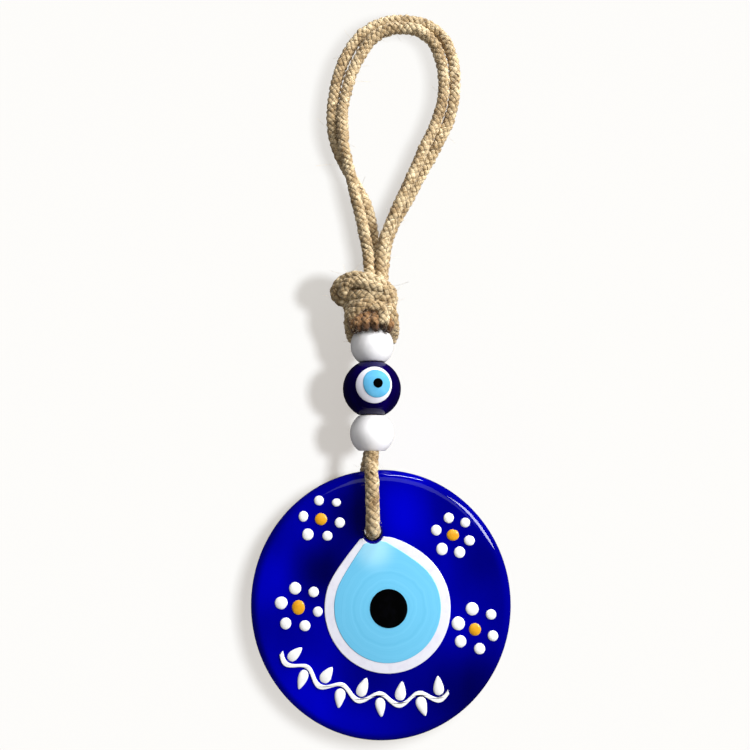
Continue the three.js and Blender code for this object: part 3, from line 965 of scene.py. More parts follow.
@dataclass
class HangingLoop:
    """The doubled cord: two strands over the top, with their four ends in the neck."""

    inner_route: Route = (
        (-12.0, -1.9, -92.0), (-12.2, -2.1, -86.0), (-12.4, -2.2, -81.4), (-12.9, -2.2, -77.7),
        (-13.6, -2.2, -74), (-14.4, -2.2, -70), (-15.4, -2.2, -65.5), (-16.8, -2.2, -60),
        (-18, -2.2, -54.5), (-19.4, -1.9, -48.5), (-20.7, -1.8, -42.5), (-21.3, -1.1, -36),
        (-21.4, -0.4, -28.5), (-20.2, -0.1, -21), (-18.2, -0.1, -14), (-15.3, -0.2, -7.6),
        (-11.8, -0.4, -2.4), (-7.2, -0.6, 1), (-1.3, -0.8, 2.1), (4.2, -0.7, 1.2), (8.4, -0.4, -1.6),
        (11.4, -0.2, -6.4), (13.0, -0.1, -13.5), (13.1, -0.2, -21.2), (11.6, -0.6, -29),
        (8.8, -1.3, -36.4), (5.8, -1.9, -43), (3.2, -2.1, -49.5), (0.4, -2.2, -55.8), (-2, -2.2, -61.2),
        (-4, -2.2, -65.8), (-5.7, -2.2, -70), (-7.3, -2.2, -74), (-7.9, -2.2, -77.7),
        (-8.3, -2.2, -81.4), (-8.6, -2.1, -86.0), (-8.7, -1.9, -92.0),
    )
    outer_route: Route = (
        (-11.9, 1.9, -92.0), (-11.8, 2.1, -86.0), (-11.6, 2.2, -81.4), (-11.3, 2.2, -77.7),
        (-11.1, 2.2, -74), (-11.2, 2.2, -70), (-11.9, 2.2, -66), (-13.4, 2.2, -60.4), (-16.2, 2.2, -55),
        (-19.2, 2.2, -49.4), (-22.3, 2.2, -43.4), (-24.6, 1.5, -36.5), (-25.0, 0.4, -29),
        (-24.2, 0.2, -20.8), (-22.5, 0.3, -13), (-19.6, 0.5, -6), (-15.6, 0.8, 0), (-9.8, 1, 4.4),
        (-2.4, 1.2, 6.1), (4.6, 1.1, 5.4), (10.6, 0.8, 2.4), (14.8, 0.5, -3.4), (16.8, 0.3, -11.4),
        (17.0, 0.5, -20.6), (15.5, 0.9, -29.4), (11.9, 1.5, -37.6), (8.4, 2.1, -44.4), (5, 2.2, -50.6),
        (2, 2.2, -56.6), (-0.8, 2.2, -61.8), (-3.2, 2.2, -65.8), (-5.0, 2.2, -70), (-6.4, 2.2, -74),
        (-7.0, 2.2, -77.7), (-7.5, 2.2, -81.4), (-7.9, 2.1, -86.0), (-8.2, 1.9, -92.0),
    )
    split_height: float = -77.7 * MM
    loop_bend: tuple[float, float] = (-68 * MM, -76 * MM)
    neck_bend: tuple[float, float] = (-79.5 * MM, -86 * MM)

    def build(self, maker: Cordmaker) -> None:
        """Makes both strands and parts them at the neck."""
        self.lay(maker, "inner", self.inner_route, ("neck_strand_1", "neck_strand_3"))
        self.lay(maker, "outer", self.outer_route, ("neck_strand_2", "neck_strand_4"))

    def lay(self, maker: Cordmaker, name: str, route: Route, ends: tuple[str, str]) -> None:
        """Makes one strand: its loop and its two ends.

        Args:
            maker: The cordmaker.
            name: Which strand.
            route: Its points, in millimetres.
            ends: The frame's names of its two ends.
        """
        line = laid_line(route)
        high = np.flatnonzero(line[:, 2] >= self.split_height)
        before = length_of(line[: high[0] + 1])
        after = length_of(line[: high[-1] + 1])
        whole = maker.strand(f"whole_{name}", line)
        loop = cut_out(whole, f"jute_loop_{name}", before, after)
        self.bend(loop, Body.LOOP, Body.NECK, self.loop_bend)
        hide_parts(f"loop_strand_{name}")
        self.bend(maker.fibres(loop), Body.LOOP, Body.NECK, self.loop_bend)
        for end, start, stop in ((ends[0], 0.0, before), (ends[1], after, math.inf)):
            piece = cut_out(whole, f"jute_{end}", start, stop)
            self.bend(piece, Body.NECK, Body.KNOT, self.neck_bend)
            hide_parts(end)
            self.bend(maker.fibres(piece), Body.NECK, Body.KNOT, self.neck_bend)
        bpy.data.objects.remove(whole)

    @staticmethod
    def bend(piece: bpy.types.Object, upper: Body, lower: Body, heights: tuple[float, float]) -> None:
        """Bends a piece between two bodies from one height to another."""
        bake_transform(piece, upper.value, lower.value, start=(0, 0, heights[0]), end=(0, 0, heights[1]))


@dataclass
class Knot:
    """The wound knot: one end wraps three times round the others and makes a side loop."""

    diameter: float = 3.8 * MM
    taper: float = 2.4 * MM
    wrap: Route = (
        (-14.0, 0.6, -95.6), (-18.6, -0.2, -95.5), (-21.6, -1.4, -94.8), (-23.3, -2.0, -92.7),
        (-22.8, -2.5, -90.3), (-20.5, -3.6, -88.4), (-17.1, -5.3, -87.8), (-13.3, -6.1, -88.4),
        (-9.2, -6.0, -89.8), (-6.0, -4.4, -91.5), (-4.9, -1.2, -92.3), (-5.2, 2.4, -92.7),
        (-8.2, 5.3, -93.0), (-12.0, 6.0, -93.3), (-16.0, 5.0, -93.6), (-18.5, 1.8, -93.9),
        (-18.8, -2.0, -94.0), (-17.0, -4.9, -93.9), (-13.3, -6.1, -94.0), (-8.8, -5.8, -94.4),
        (-5.9, -3.9, -95.1), (-5.0, 0.0, -95.5), (-6.3, 3.8, -95.9), (-10.0, 5.7, -96.2),
        (-14.5, 5.5, -96.5), (-17.8, 3.0, -96.8), (-19.0, -0.8, -97.0), (-17.6, -4.3, -97.1),
        (-13.8, -5.9, -97.3), (-9.5, -5.8, -97.7), (-6.2, -4.3, -98.3), (-5.2, -1.0, -98.9),
        (-7.0, 1.6, -99.6),
    )
    tails: dict[str, Route] = field(
        default_factory=lambda: {
            "left": ((-15.6, -3.0, -95.6), (-18.0, -4.3, -98.0), (-18.6, -3.8, -101.0), (-18.6, -1.2, -103.6),
                     (-18.2, 2.6, -105.6), (-17.0, 5.0, -107.6)),
            "right": ((-6.6, -3.0, -96.2), (-5.1, -4.4, -98.8), (-4.7, -4.4, -101.6), (-4.4, -2.4, -104.0),
                      (-4.4, 1.8, -106.0), (-5.6, 4.8, -108.0)),
            "under_hood": ((-20.2, 0.4, -93.0), (-18.4, 0.2, -90.9), (-15.6, 0.0, -90.0), (-12.6, 0.2, -90.4)),
            "slant": ((-18.2, -4.4, -102.6), (-17.3, -5.9, -100.2), (-15.2, -6.9, -98.0), (-12.6, -6.7, -96.2),
                      (-9.8, -5.4, -95.4)),
            "hood": ((-14.5, -1.0, -94.6), (-18.6, -2.6, -94.0), (-20.6, -4.4, -92.9), (-19.9, -5.6, -90.9),
                     (-17.2, -6.4, -89.9), (-13.4, -6.9, -90.6), (-9.4, -6.6, -91.9),
                     (-6.0, -4.8, -93.2),
                     (-4.6, -1.4, -94.0), (-5.4, 2.0, -94.4)),
            "front": ((-4.6, -2.6, -97.0), (-6.4, -5.6, -98.6), (-7.6, -6.6, -100.6), (-7.6, -7.0, -103.0),
                      (-7.6, -7.2, -105.4)),
        }
    )
    inner: dict[str, Route] = field(
        default_factory=lambda: {
            "side_left": ((-15.6, -2.4, -96.6), (-16.9, -4.3, -99.6), (-17.2, -5.0, -102.6), (-16.9, -5.4, -106.0)),
            "side_right": ((-7.4, -2.2, -96.6), (-6.2, -4.0, -99.6), (-5.9, -4.8, -102.6), (-6.2, -5.4, -105.8)),
            "one": ((-14.4, -2.0, -96.4), (-15.6, -4.3, -99.4), (-15.8, -6.0, -102.2), (-15.6, -6.9, -105.7)),
            "two": ((-12.6, -1.0, -96.4), (-13.0, -3.8, -99.4), (-13.2, -6.2, -102.2), (-13.3, -7.9, -105.6)),
            "three": ((-10.4, -1.2, -96.6), (-10.2, -4.0, -99.6), (-10.3, -6.4, -102.4), (-10.2, -7.9, -105.6)),
            "back_left": ((-14.8, 2.6, -96.0), (-15.6, 4.9, -98.6), (-15.4, 5.7, -101.6), (-14.4, 6.3, -104.6),
                          (-13.6, 7.2, -106.8), (-13.5, 7.9, -108.6)),
            "back_middle": ((-11.6, 2.6, -96.4), (-11.6, 4.4, -98.9), (-11.6, 5.6, -101.6), (-11.5, 6.6, -103.9)),
            "back_right": ((-8.6, 2.6, -96.2), (-7.9, 4.8, -98.8), (-8.1, 5.7, -101.8), (-8.9, 6.4, -104.6),
                           (-9.4, 7.3, -106.8), (-9.4, 7.9, -108.6)),
        }
    )

    def build(self, maker: Cordmaker) -> None:
        """Winds the knot."""
        wrap = maker.strand("jute_knot_wrap", laid_line(self.wrap), self.diameter)
        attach(wrap, Body.KNOT.value)
        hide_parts("knot")
        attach(maker.fibres(wrap), Body.KNOT.value)
        for shaded, routes in ((False, self.tails), (True, self.inner)):
            for name, route in routes.items():
                line = laid_line(route)
                tail = maker.strand(f"jute_knot_{name}", line, self.diameter, shaded, self.taper)
                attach(tail, Body.KNOT.value)
                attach(maker.fibres(tail), Body.KNOT.value)
        LOG.info("knot: %d tails", len(self.tails) + len(self.inner))


@dataclass
class BeadCord:
    """The two strands inside the beads, and the bail that they make through the disc."""

    axis_x: float = -11.4
    squeezed: float = 3.1 * MM
    bail_diameter: float = 4.7 * MM
    back_shift: float = -1.9
    bail_top: float = -141.5
    bail_drop: float = 27.0
    top: float = -101.6
    bottom: float = -145.2
    half_gap: float = 1.6
    bail_front: Route = (
        (-11.4, -1.7, -141.5), (-11.4, -2.0, -144.5), (-11.5, -3.7, -147.5), (-11.5, -5.4, -149.6),
        (-11.3, -5.9, -153), (-11.2, -5.9, -158.5), (-11.1, -5.9, -163.2), (-11.1, -5.1, -166.7),
        (-11.1, -2.5, -168.3),
    )
    in_hole: Point = (-11.1, 0, -168.4)
    bend: tuple[float, float] = (-145 * MM, -149 * MM)

    def build(self, maker: Cordmaker) -> None:
        """Makes the hidden strands and the bail."""
        for side, sign in (("front", -1), ("back", 1)):
            y = sign * self.half_gap
            line = laid_line([(self.axis_x, y, self.top), (self.axis_x, y, self.bottom)])
            strand = maker.strand(f"jute_bead_cord_{side}", line, self.squeezed)
            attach(strand, Body.BEAD_CORD.value)
            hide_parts(f"bead_cord_{side}")
        back = [
            (x + self.back_shift * max(0.0, math.sin((self.bail_top - z) / self.bail_drop * math.pi)), -y, z)
            for x, y, z in reversed(self.bail_front)
        ]
        line = laid_line([*self.bail_front, self.in_hole, *back])
        bail = maker.strand("jute_bail", line, self.bail_diameter)
        for piece in (bail, maker.fibres(bail)):
            HangingLoop.bend(piece, Body.BEAD_CORD, Body.BAIL, self.bend)
        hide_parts("disc_bail_cord")
        LOG.info("bail: %.0f mm", length_of(line) / MM)


# ---------------------------------------------------------------- beads


@dataclass
class Beads:
    """Two white beads and the lampwork eye bead between them."""

    bore: float = 3.5 * MM
    mouth_round: float = 0.5 * MM
    segments: int = 96
    rings: int = 48
    eye_layers: tuple[tuple[str, float, float, float, float], ...] = (
        ("white", 5.4, 4.0, 5.7, 0.10),
        ("iris", 10.2, 5.6, 4.35, 0.26),
        ("pupil", 12.0, 5.6, 1.5, 0.40),
    )
    wobble: float = 0.022
    layer_edge: Outline = field(
        default_factory=lambda: [
            (1.0, -0.6), (1.0, 0.0), (0.992, 0.35), (0.975, 0.66), (0.95, 0.86), (0.91, 0.96), (0.85, 1.0)
        ]
    )

    def build(self) -> None:
        """Makes all three beads and the painted eye."""
        white = BEAD_WHITE.material()
        for node, body in (("upper_white_bead", Body.UPPER_BEAD), ("lower_white_bead", Body.LOWER_BEAD)):
            self.bead(node, body, white)
        centre, radius = self.bead("eye_bead", Body.EYE_BEAD, BEAD_COBALT.material())
        finishes = {"white": WHITE_FUSED, "iris": SKY_FUSED, "pupil": BLACK_FUSED}
        for name, turn, tilt, reach, proud in self.eye_layers:
            layer = self.eye_layer(centre, radius, (turn, tilt), reach * MM, proud * MM)
            piece = put(f"lampwork_{name}", layer)
            dress(piece, finishes[name].material())
            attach(piece, Body.EYE_BEAD.value)
            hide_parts(f"bead_eye_{name}")
        LOG.info("beads: three, with %d eye layers", len(self.eye_layers))

    def bead(
        self, node: str, body: Body, material: bpy.types.Material
    ) -> tuple[Vector, float]:
        """Makes one bored bead in place of its frame node.

        Args:
            node: The node that it stands for.
            body: The body that it rides on.
            material: That finish's material.

        Returns:
            The bead's centre and radius.
        """
        low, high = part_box(node)
        centre = (low + high) / 2
        radius = (high.x - low.x) / 2
        mouth = self.bore + self.mouth_round
        tip = math.sqrt((radius - self.mouth_round) ** 2 - mouth**2)
        tip_angle = math.degrees(math.atan2(tip, mouth))
        profile = [
            *arc((mouth, -tip), self.mouth_round, -180, -tip_angle, 6),
            *arc((0, 0), radius, -tip_angle, tip_angle, self.rings)[1:-1],
            *arc((mouth, tip), self.mouth_round, tip_angle, 180, 6),
        ]
        piece = put(f"bored_{node}", turned(profile, self.segments, centre))
        dress(piece, material)
        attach(piece, body.value)
        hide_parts(node)
        return centre, radius

    def eye_layer(
        self, centre: Vector, radius: float, aim: tuple[float, float], reach: float, proud: float
    ) -> bpy.types.Mesh:
        """A cap of melted glass on the eye bead.

        Args:
            centre: The bead's centre.
            radius: The bead's radius.
            aim: How far round and up the front it sits, in degrees.
            reach: The cap's own radius.
            proud: How far it stands off the bead.

        Returns:
            The cap as a closed mesh.
        """
        around, steps = 72, 10
        edge = math.asin(reach / radius)
        turn, tilt = (math.radians(angle) for angle in aim)
        spin = Matrix.Rotation(turn, 3, "Z") @ Matrix.Rotation(-tilt, 3, "X")
        inner = self.layer_edge[-1][0]
        shares = [*self.layer_edge, *((inner * (steps - i) / steps, 1.0) for i in range(1, steps))]
        points = []
        for share, rise in shares:
            for k in range(around):
                way = 2 * math.pi * k / around
                ripple = 1 + self.wobble * (math.sin(2 * way + aim[0]) + 0.6 * math.sin(3 * way + 2 * aim[0]))
                lean = edge * share * ripple
                out = radius + proud * rise
                wide = math.sin(lean)
                spot = Vector((wide * math.cos(way), -math.cos(lean), wide * math.sin(way)))
                points.append(centre + spin @ (out * spot))
        rings = len(shares)
        faces = ring_faces(rings, around)
        faces.append(tuple(range(around)))
        top = len(points)
        points.append(centre + spin @ Vector((0.0, -(radius + proud), 0.0)))
        last = (rings - 1) * around
        faces += [(last + k, last + (k + 1) % around, top) for k in range(around)]
        return face_out(mesh_of("cap", points, faces))


# ---------------------------------------------------------------- disc


class DabGrowth(Growth):
    """Blobs of enamel on points, each with its own length, width and turn."""

    def __init__(self) -> None:
        """Builds the tree."""
        super().__init__("enamel_dabs")
        height = self.size("Height")
        taper = self.size("Taper")
        waver = self.size("Waver")
        seed = self.size("Seed", "NodeSocketInt")
        ball = self.out("GeometryNodeMeshUVSphere", {"Segments": 28, "Rings": 14, "Radius": 1.0})
        here = self.out("GeometryNodeInputPosition")
        parts = self.add("ShaderNodeSeparateXYZ", {0: here})
        narrow = self.math("MULTIPLY_ADD", self.math("MULTIPLY", parts.outputs[0], taper), -1.0, 1.0)
        leaf = self.out(
            "ShaderNodeCombineXYZ",
            {0: parts.outputs[0], 1: parts.outputs[1], 2: self.math("MULTIPLY", parts.outputs[2], narrow)},
        )
        blob = self.out("GeometryNodeSetPosition", {"Geometry": ball, "Position": leaf})
        long, wide, turn = (
            self.out("GeometryNodeInputNamedAttribute", {"Name": name}, data_type="FLOAT")
            for name in ("long", "wide", "turn")
        )
        uneven = self.out(
            "FunctionNodeRandomValue",
            {0: (0.94, 1.0, 0.94), 1: (1.06, 1.0, 1.06), "Seed": seed},
            data_type="FLOAT_VECTOR",
        )
        size = self.out("ShaderNodeCombineXYZ", {0: long, 1: height, 2: wide})
        euler = self.out("ShaderNodeCombineXYZ", {0: 0.0, 1: turn, 2: 0.0})
        blobs = self.out(
            "GeometryNodeInstanceOnPoints",
            {
                "Points": self.source,
                "Instance": blob,
                "Rotation": self.out("FunctionNodeEulerToRotation", {0: euler}),
                "Scale": self.vector("MULTIPLY", size, uneven),
            },
        )
        real = self.out("GeometryNodeRealizeInstances", {"Geometry": blobs})
        drift = self.add(
            "ShaderNodeTexNoise", {"Vector": self.out("GeometryNodeInputPosition"), "Scale": 620.0}
        ).outputs[1]
        shift = self.vector("MULTIPLY", self.vector("SUBTRACT", drift, (0.5, 0.5, 0.5)), (1.0, 0.0, 1.0))
        uneven_edge = self.out(
            "GeometryNodeSetPosition", {"Geometry": real, "Offset": self.vector("SCALE", shift, scale=waver)}
        )
        self.finish(uneven_edge)


@dataclass(frozen=True)
class Flank:
    """One side of a drop: where it leaves the round pool, how stiffly, and the corner it runs to."""

    leaves_at: float
    pull: float
    corner: tuple[float, float]


@dataclass(frozen=True)
class Drop:
    """A round pool of glass, with two flanks drawn up to the hole where it has them."""

    u: float
    v: float
    radius: float
    right: Flank | None = None
    left: Flank | None = None
    crown: float = 1.2

    def outline(self) -> Outline:
        """Its outline in millimetres, anticlockwise, on the disc's own upright."""
        if self.right is None or self.left is None:
            return arc((self.u, self.v), self.radius, 0, 360, 96)[:-1]
        pool = arc((self.u, self.v), self.radius, self.left.leaves_at, self.right.leaves_at + 360, 120)
        (right_u, right_v), (left_u, left_v) = self.right.corner, self.left.corner
        top = ((right_u + left_u) / 2, (right_v + left_v) / 2 + self.crown)
        rise = self.curve(pool[-1], self.control(self.right, pool[-1], 1), self.right.corner, 24)
        across = self.curve(self.right.corner, top, self.left.corner, 20)
        fall = self.curve(self.left.corner, self.control(self.left, pool[0], -1), pool[0], 24)
        return [*pool[:-1], *rise, *across, *fall]

    @staticmethod
    def control(flank: Flank, start: tuple[float, float], way: int) -> tuple[float, float]:
        """The point that bends a flank, straight on from the pool's edge."""
        turn = math.radians(flank.leaves_at)
        return (start[0] - way * flank.pull * math.sin(turn), start[1] + way * flank.pull * math.cos(turn))

    @staticmethod
    def curve(one: tuple, two: tuple, three: tuple, steps: int) -> Outline:
        """A quadratic curve without its last point."""
        points = []
        for i in range(steps):
            t = i / steps
            points.append(
                tuple((1 - t) ** 2 * a + 2 * t * (1 - t) * b + t * t * c for a, b, c in zip(one, two, three))
            )
        return points


@dataclass(frozen=True)
class Flower:
    """An enamel flower: its centre on the disc and six petals by angle, distance and width."""

    u: float
    v: float
    core: float
    petals: tuple[tuple[float, float, float], ...]


FLOWERS = {
    "upper_left": Flower(-16.2, 26.6, 3.9, (
        (92, 5.7, 3.1), (42, 6.9, 2.6), (166, 5.5, 3.1), (-15, 5.9, 3.1), (-136, 6.1, 3.4), (-73, 5.4, 3.1))),
    "upper_right": Flower(23.8, 18.3, 3.6, (
        (98, 5.3, 3.1), (39, 5.4, 2.9), (159, 5.3, 3.2), (-23, 5.3, 3.2), (-134, 5.4, 3.6), (-74, 5.5, 3.3))),
    "left": Flower(-25.0, 1.1, 4.1, (
        (96, 5.7, 3.6), (40, 6.4, 3.2), (161, 5.4, 3.7), (-17, 6.0, 3.0), (-134, 6.0, 3.5), (-74, 5.7, 3.2))),
    "right": Flower(27.6, -9.9, 3.6, (
        (92, 6.0, 3.7), (156, 5.3, 3.8), (-147, 5.6, 3.5), (-82, 5.7, 3.2), (36, 6.6, 3.0), (-24, 5.7, 3.2))),
}


@dataclass
class Disc:
    """The cobalt disc with its hole, fused eye, flowers and garland."""

    lean: float = -5.0
    rim_round: float = 3.2 * MM
    hole_radius: float = 2.6 * MM
    lip_round: float = 0.8 * MM
    hole: tuple[float, float] = (-0.65, 21.1)
    around: int = 288
    face_rings: int = 28
    eye: dict[str, Drop] = field(
        default_factory=lambda: {
            "white": Drop(1.9, -1.2, 19.1, Flank(25, 8.6, (5.4, 19.1)), Flank(158, 4.5, (-4.7, 19.6))),
            "iris": Drop(1.9, -1.1, 16.2, Flank(36, 3.6, (3.3, 18.1)), Flank(152, 3.6, (-3.7, 18.1))),
            "pupil": Drop(2.2, -1.5, 5.75),
        }
    )
    eye_heights: dict[str, float] = field(
        default_factory=lambda: {"white": 0.30, "iris": 0.45, "pupil": 0.60}
    )
    eye_edge: float = 0.28
    eye_crown: tuple[float, float] = (-0.6, 16.2)
    bite_overlap: float = 0.1
    # Patches of painted light, with positive strength, and painted shade, with negative: u and v on the disc's own
    # upright, reach and strength.
    painted_light_and_shade: tuple[PaintedPatch, ...] = (
        PaintedPatch(8, 27, 9, 0.34),
        PaintedPatch(-35, 10, 8, 0.22),
        PaintedPatch(-25, -27, 12, 0.26),
        PaintedPatch(23, -10, 8, 0.12),
        PaintedPatch(-4, -34, 8, 0.12),
        PaintedPatch(-7, 26, 8, -0.34),
        PaintedPatch(-16, 11, 8, -0.46),
        PaintedPatch(26, -29, 12, -0.36),
        PaintedPatch(33, 11, 7, -0.14),
        PaintedPatch(20, 29, 8, -0.16),
        PaintedPatch(-9, -21, 8, -0.16),
    )
    dab_height: float = 0.55 * MM
    dab_waver: float = 0.22 * MM
    dab_seed: int = 5
    garland_centre: tuple[float, float] = (7.0, 24.0)
    garland_radius: float = 52.0
    garland_span: tuple[float, float] = (-137.0, -78.0)
    garland_waves: float = 4.5
    garland_wave: float = 1.5
    stem_width: float = 1.5
    stem_height: float = 0.42
    leaf_count: int = 9
    leaf_length: float = 5.5
    leaf_width: float = 2.9
    leaf_gap: float = 0.4
    leaf_taper: float = 0.45
    garland_steps: int = 120

    def __post_init__(self) -> None:
        """Reads the disc's place and size from the frame."""
        low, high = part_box("glass_disc")
        self.centre = (low + high) / 2
        self.radius = (high.x - low.x) / 2
        self.half = (high.y - low.y) / 2

    def on_face(self, u: float, v: float, out: float = 0.0) -> Vector:
        """The place of a point of the front face.

        Args:
            u: Across the disc's own upright, in millimetres.
            v: Up it.
            out: How far it stands off the face.

        Returns:
            The point in the frame, in metres.
        """
        turn = math.radians(self.lean)
        x = u * math.cos(turn) + v * math.sin(turn)
        z = v * math.cos(turn) - u * math.sin(turn)
        return Vector((self.centre.x + x * MM, -self.half - out * MM, self.centre.z + z * MM))

    def build(self) -> None:
        """Makes every piece of the disc."""
        self.glass()
        self.fused_eye()
        self.flowers()
        self.garland()

    def keep(self, piece: bpy.types.Object, finish: Finish, nodes: Sequence[str]) -> None:
        """Dresses a piece, rides it on the disc and hides the nodes it stands for."""
        dress(piece, finish.material())
        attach(piece, Body.DISC.value)
        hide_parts(*nodes)
        LOG.info("disc: %s", piece.name)

    def glass(self) -> None:
        """The poured disc: rings of points from the hole's lip out to the rim and round the back."""
        hole = self.on_face(*self.hole)
        lip = self.hole_radius + self.lip_round
        flat = self.radius - self.rim_round
        front = -self.half
        rings: list[tuple[float, float, float]] = []
        for turn in quarter(6):
            drop = self.lip_round * (1 - math.sin(turn))
            rings.append((0.0, lip - self.lip_round * math.cos(turn), front + drop))
        for i in range(1, self.face_rings):
            share = i / self.face_rings
            rings.append((share, lip + (flat - lip) * share, front))
        side = self.half - self.rim_round
        for turn in quarter(12):
            out = self.rim_round * math.sin(turn)
            rings.append((1.0, flat + out, -side - self.rim_round * math.cos(turn)))
        rings += [(share, reach, -y) for share, reach, y in reversed(rings)]
        points = []
        for share, reach, y in rings:
            x = hole.x + (self.centre.x - hole.x) * share
            z = hole.z + (self.centre.z - hole.z) * share
            for k in range(self.around):
                turn = 2 * math.pi * k / self.around
                points.append((x + reach * math.cos(turn), y, z + reach * math.sin(turn)))
        mesh = face_out(mesh_of("cobalt", points, ring_faces(len(rings), self.around, closed=True)))
        finish = CobaltFinish(
            name="cobalt_glass",
            slot="cobalt_glass",
            roughness=0.05,
            deep=(0.0, 0.0, 0.008),
            body=(0.0, 0.0, 0.25),
            bright=(0.0, 0.0, 0.66),
            swirl=34.0,
            gloss=0.28,
            middle=tuple(self.centre),
            lean=self.lean,
            painted_light_and_shade=self.painted_light_and_shade,
        )
        self.keep(put("cobalt_disc", mesh), finish, ["glass_disc"])

    def fused_eye(self) -> None:
        """The eye's three layers, each a low plate with a rounded edge."""
        pupil = self.eye["pupil"]
        pool = PoolFinish(
            name="fused_sky_glass",
            slot="sky_glass",
            roughness=0.16,
            middle=tuple(self.on_face(pupil.u, pupil.v)),
            crown_place=tuple(self.on_face(*self.eye_crown)),
        )
        finishes = {"white": WHITE_FUSED, "iris": pool, "pupil": BLACK_FUSED}
        for name, drop in self.eye.items():
            outline = self.clear_of_hole(drop.outline())
            mesh = self.plate(outline, self.eye_heights[name], self.eye_edge)
            self.keep(put(f"fused_eye_{name}", mesh), finishes[name], [f"eye_{name}"])

    def clear_of_hole(self, outline: Outline) -> Outline:
        """An outline with the hole's lip bitten out of it."""
        bite = (self.hole_radius + self.lip_round) / MM - self.bite_overlap
        hole = self.hole
        inside = [math.dist(p, hole) < bite for p in outline]
        if not any(inside):
            return outline
        first = next(i for i in range(len(outline)) if inside[i] and not inside[i - 1])
        outline = outline[first:] + outline[:first]
        kept = [p for p in outline if math.dist(p, hole) >= bite]
        start = math.degrees(math.atan2(kept[-1][1] - hole[1], kept[-1][0] - hole[0]))
        end = math.degrees(math.atan2(kept[0][1] - hole[1], kept[0][0] - hole[0]))
        if end > start:
            end -= 360
        return [*kept, *arc(hole, bite, start, end, 40)[1:-1]]

    def plate(self, outline: Outline, height: float, rounding: float) -> bpy.types.Mesh:
        """A closed plate on the face with a rounded upper edge.

        Args:
            outline: Its outline in millimetres, anticlockwise.
            height: How far it stands off the face.
            rounding: The radius of its edge.

        Returns:
            The mesh.
        """
        count = len(outline)
        path = np.array(outline)
        ahead = np.roll(path, -1, axis=0) - np.roll(path, 1, axis=0)
        ahead /= np.linalg.norm(ahead, axis=1)[:, None]
        inward = np.stack([-ahead[:, 1], ahead[:, 0]], axis=1)
        steps = [(0.0, -0.5), (0.0, height - rounding)]
        for turn in quarter(6)[1:]:
            steps.append((rounding * (1 - math.cos(turn)), height - rounding * (1 - math.sin(turn))))
        points = []
        for inset, out in steps:
            points += [self.on_face(*(p + inset * n), out) for p, n in zip(path, inward)]
        faces = ring_faces(len(steps), count)
        for first in (0, len(points) - count):
            corners = [(path[k][0], path[k][1], 0.0) for k in range(count)]
            fan = tessellate_polygon([[Vector(c) for c in corners]])
            faces += [tuple(first + k for k in triangle) for triangle in fan]
        return face_out(mesh_of("plate", points, faces))

    def dabs(self, name: str, blobs: Sequence[Blob], taper: float) -> bpy.types.Object:
        """Grows blobs of enamel.

        Args:
            name: The piece's name.
            blobs: For each, u and v in millimetres, half length, half width and turn in radians.
            taper: How much narrower its far end is.

        Returns:
            The piece.
        """
        mesh = mesh_of(name, [self.on_face(u, v) for u, v, *_ in blobs], [])
        for index, label in ((2, "long"), (3, "wide"), (4, "turn")):
            values = mesh.attributes.new(label, "FLOAT", "POINT")
            scale = 1.0 if label == "turn" else MM
            values.data.foreach_set("value", [blob[index] * scale for blob in blobs])
        sizes = {"Height": self.dab_height, "Taper": taper, "Waver": self.dab_waver, "Seed": self.dab_seed}
        return DabGrowth().grow(name, mesh, sizes)

    def flowers(self) -> None:
        """The four flowers' petals and centres."""
        cores, petals, core_nodes, petal_nodes = [], [], [], []
        for name, flower in FLOWERS.items():
            cores.append((flower.u, flower.v, flower.core / 2, flower.core / 2, 0.0))
            core_nodes.append(f"flower_{name}_centre")
            for i, (angle, distance, width) in enumerate(flower.petals):
                turn = math.radians(angle)
                u, v = flower.u + distance * math.cos(turn), flower.v + distance * math.sin(turn)
                petals.append((u, v, width / 2, width / 2, 0.0))
                petal_nodes.append(f"flower_{name}_petal_{i + 1}")
        self.keep(self.dabs("enamel_flower_centres", cores, 0.0), ENAMEL_YELLOW, core_nodes)
        self.keep(self.dabs("enamel_flower_petals", petals, 0.0), ENAMEL_WHITE, petal_nodes)

    def garland_point(self, share: float, across: float) -> tuple[float, float]:
        """A point of the garland at a share of its length, moved across it, in millimetres."""
        start, end = self.garland_span
        turn = math.radians(start + (end - start) * share)
        reach = self.garland_radius + across
        middle_u, middle_v = self.garland_centre
        return (middle_u + reach * math.cos(turn), middle_v + reach * math.sin(turn))

    def garland(self) -> None:
        """The waved stem and its leaves along the disc's lower edge."""
        near, far = [], []
        for i in range(self.garland_steps + 1):
            share = i / self.garland_steps
            wave = self.garland_wave * math.sin(2 * math.pi * self.garland_waves * share)
            half = self.stem_width / 2 * (0.86 + 0.14 * math.sin(9 * math.pi * share + 1))
            near.append(self.garland_point(share, wave - half))
            far.append(self.garland_point(share, wave + half))
        stem = self.plate([*far, *reversed(near)], self.stem_height, 0.2)
        self.keep(put("enamel_garland_stem", stem), ENAMEL_WHITE, ["garland_stem"])
        leaves = []
        for k in range(self.leaf_count):
            side = -1 if k % 2 == 0 else 1
            share = (k + 0.5) / self.leaf_count
            base = side * (self.stem_width / 2 + self.leaf_gap - self.garland_wave)
            foot = self.garland_point(share, base)
            tip = self.garland_point(share + 0.02, base + side * self.leaf_length)
            turn = math.atan2(tip[1] - foot[1], tip[0] - foot[0]) - math.radians(self.lean)
            middle = ((foot[0] + tip[0]) / 2, (foot[1] + tip[1]) / 2)
            leaves.append((*middle, self.leaf_length / 2, self.leaf_width / 2, -turn))
        nodes = [f"garland_leaf_{k + 1}" for k in range(self.leaf_count)]
        self.keep(self.dabs("enamel_garland_leaves", leaves, self.leaf_taper), ENAMEL_WHITE, nodes)


# ---------------------------------------------------------------- studio


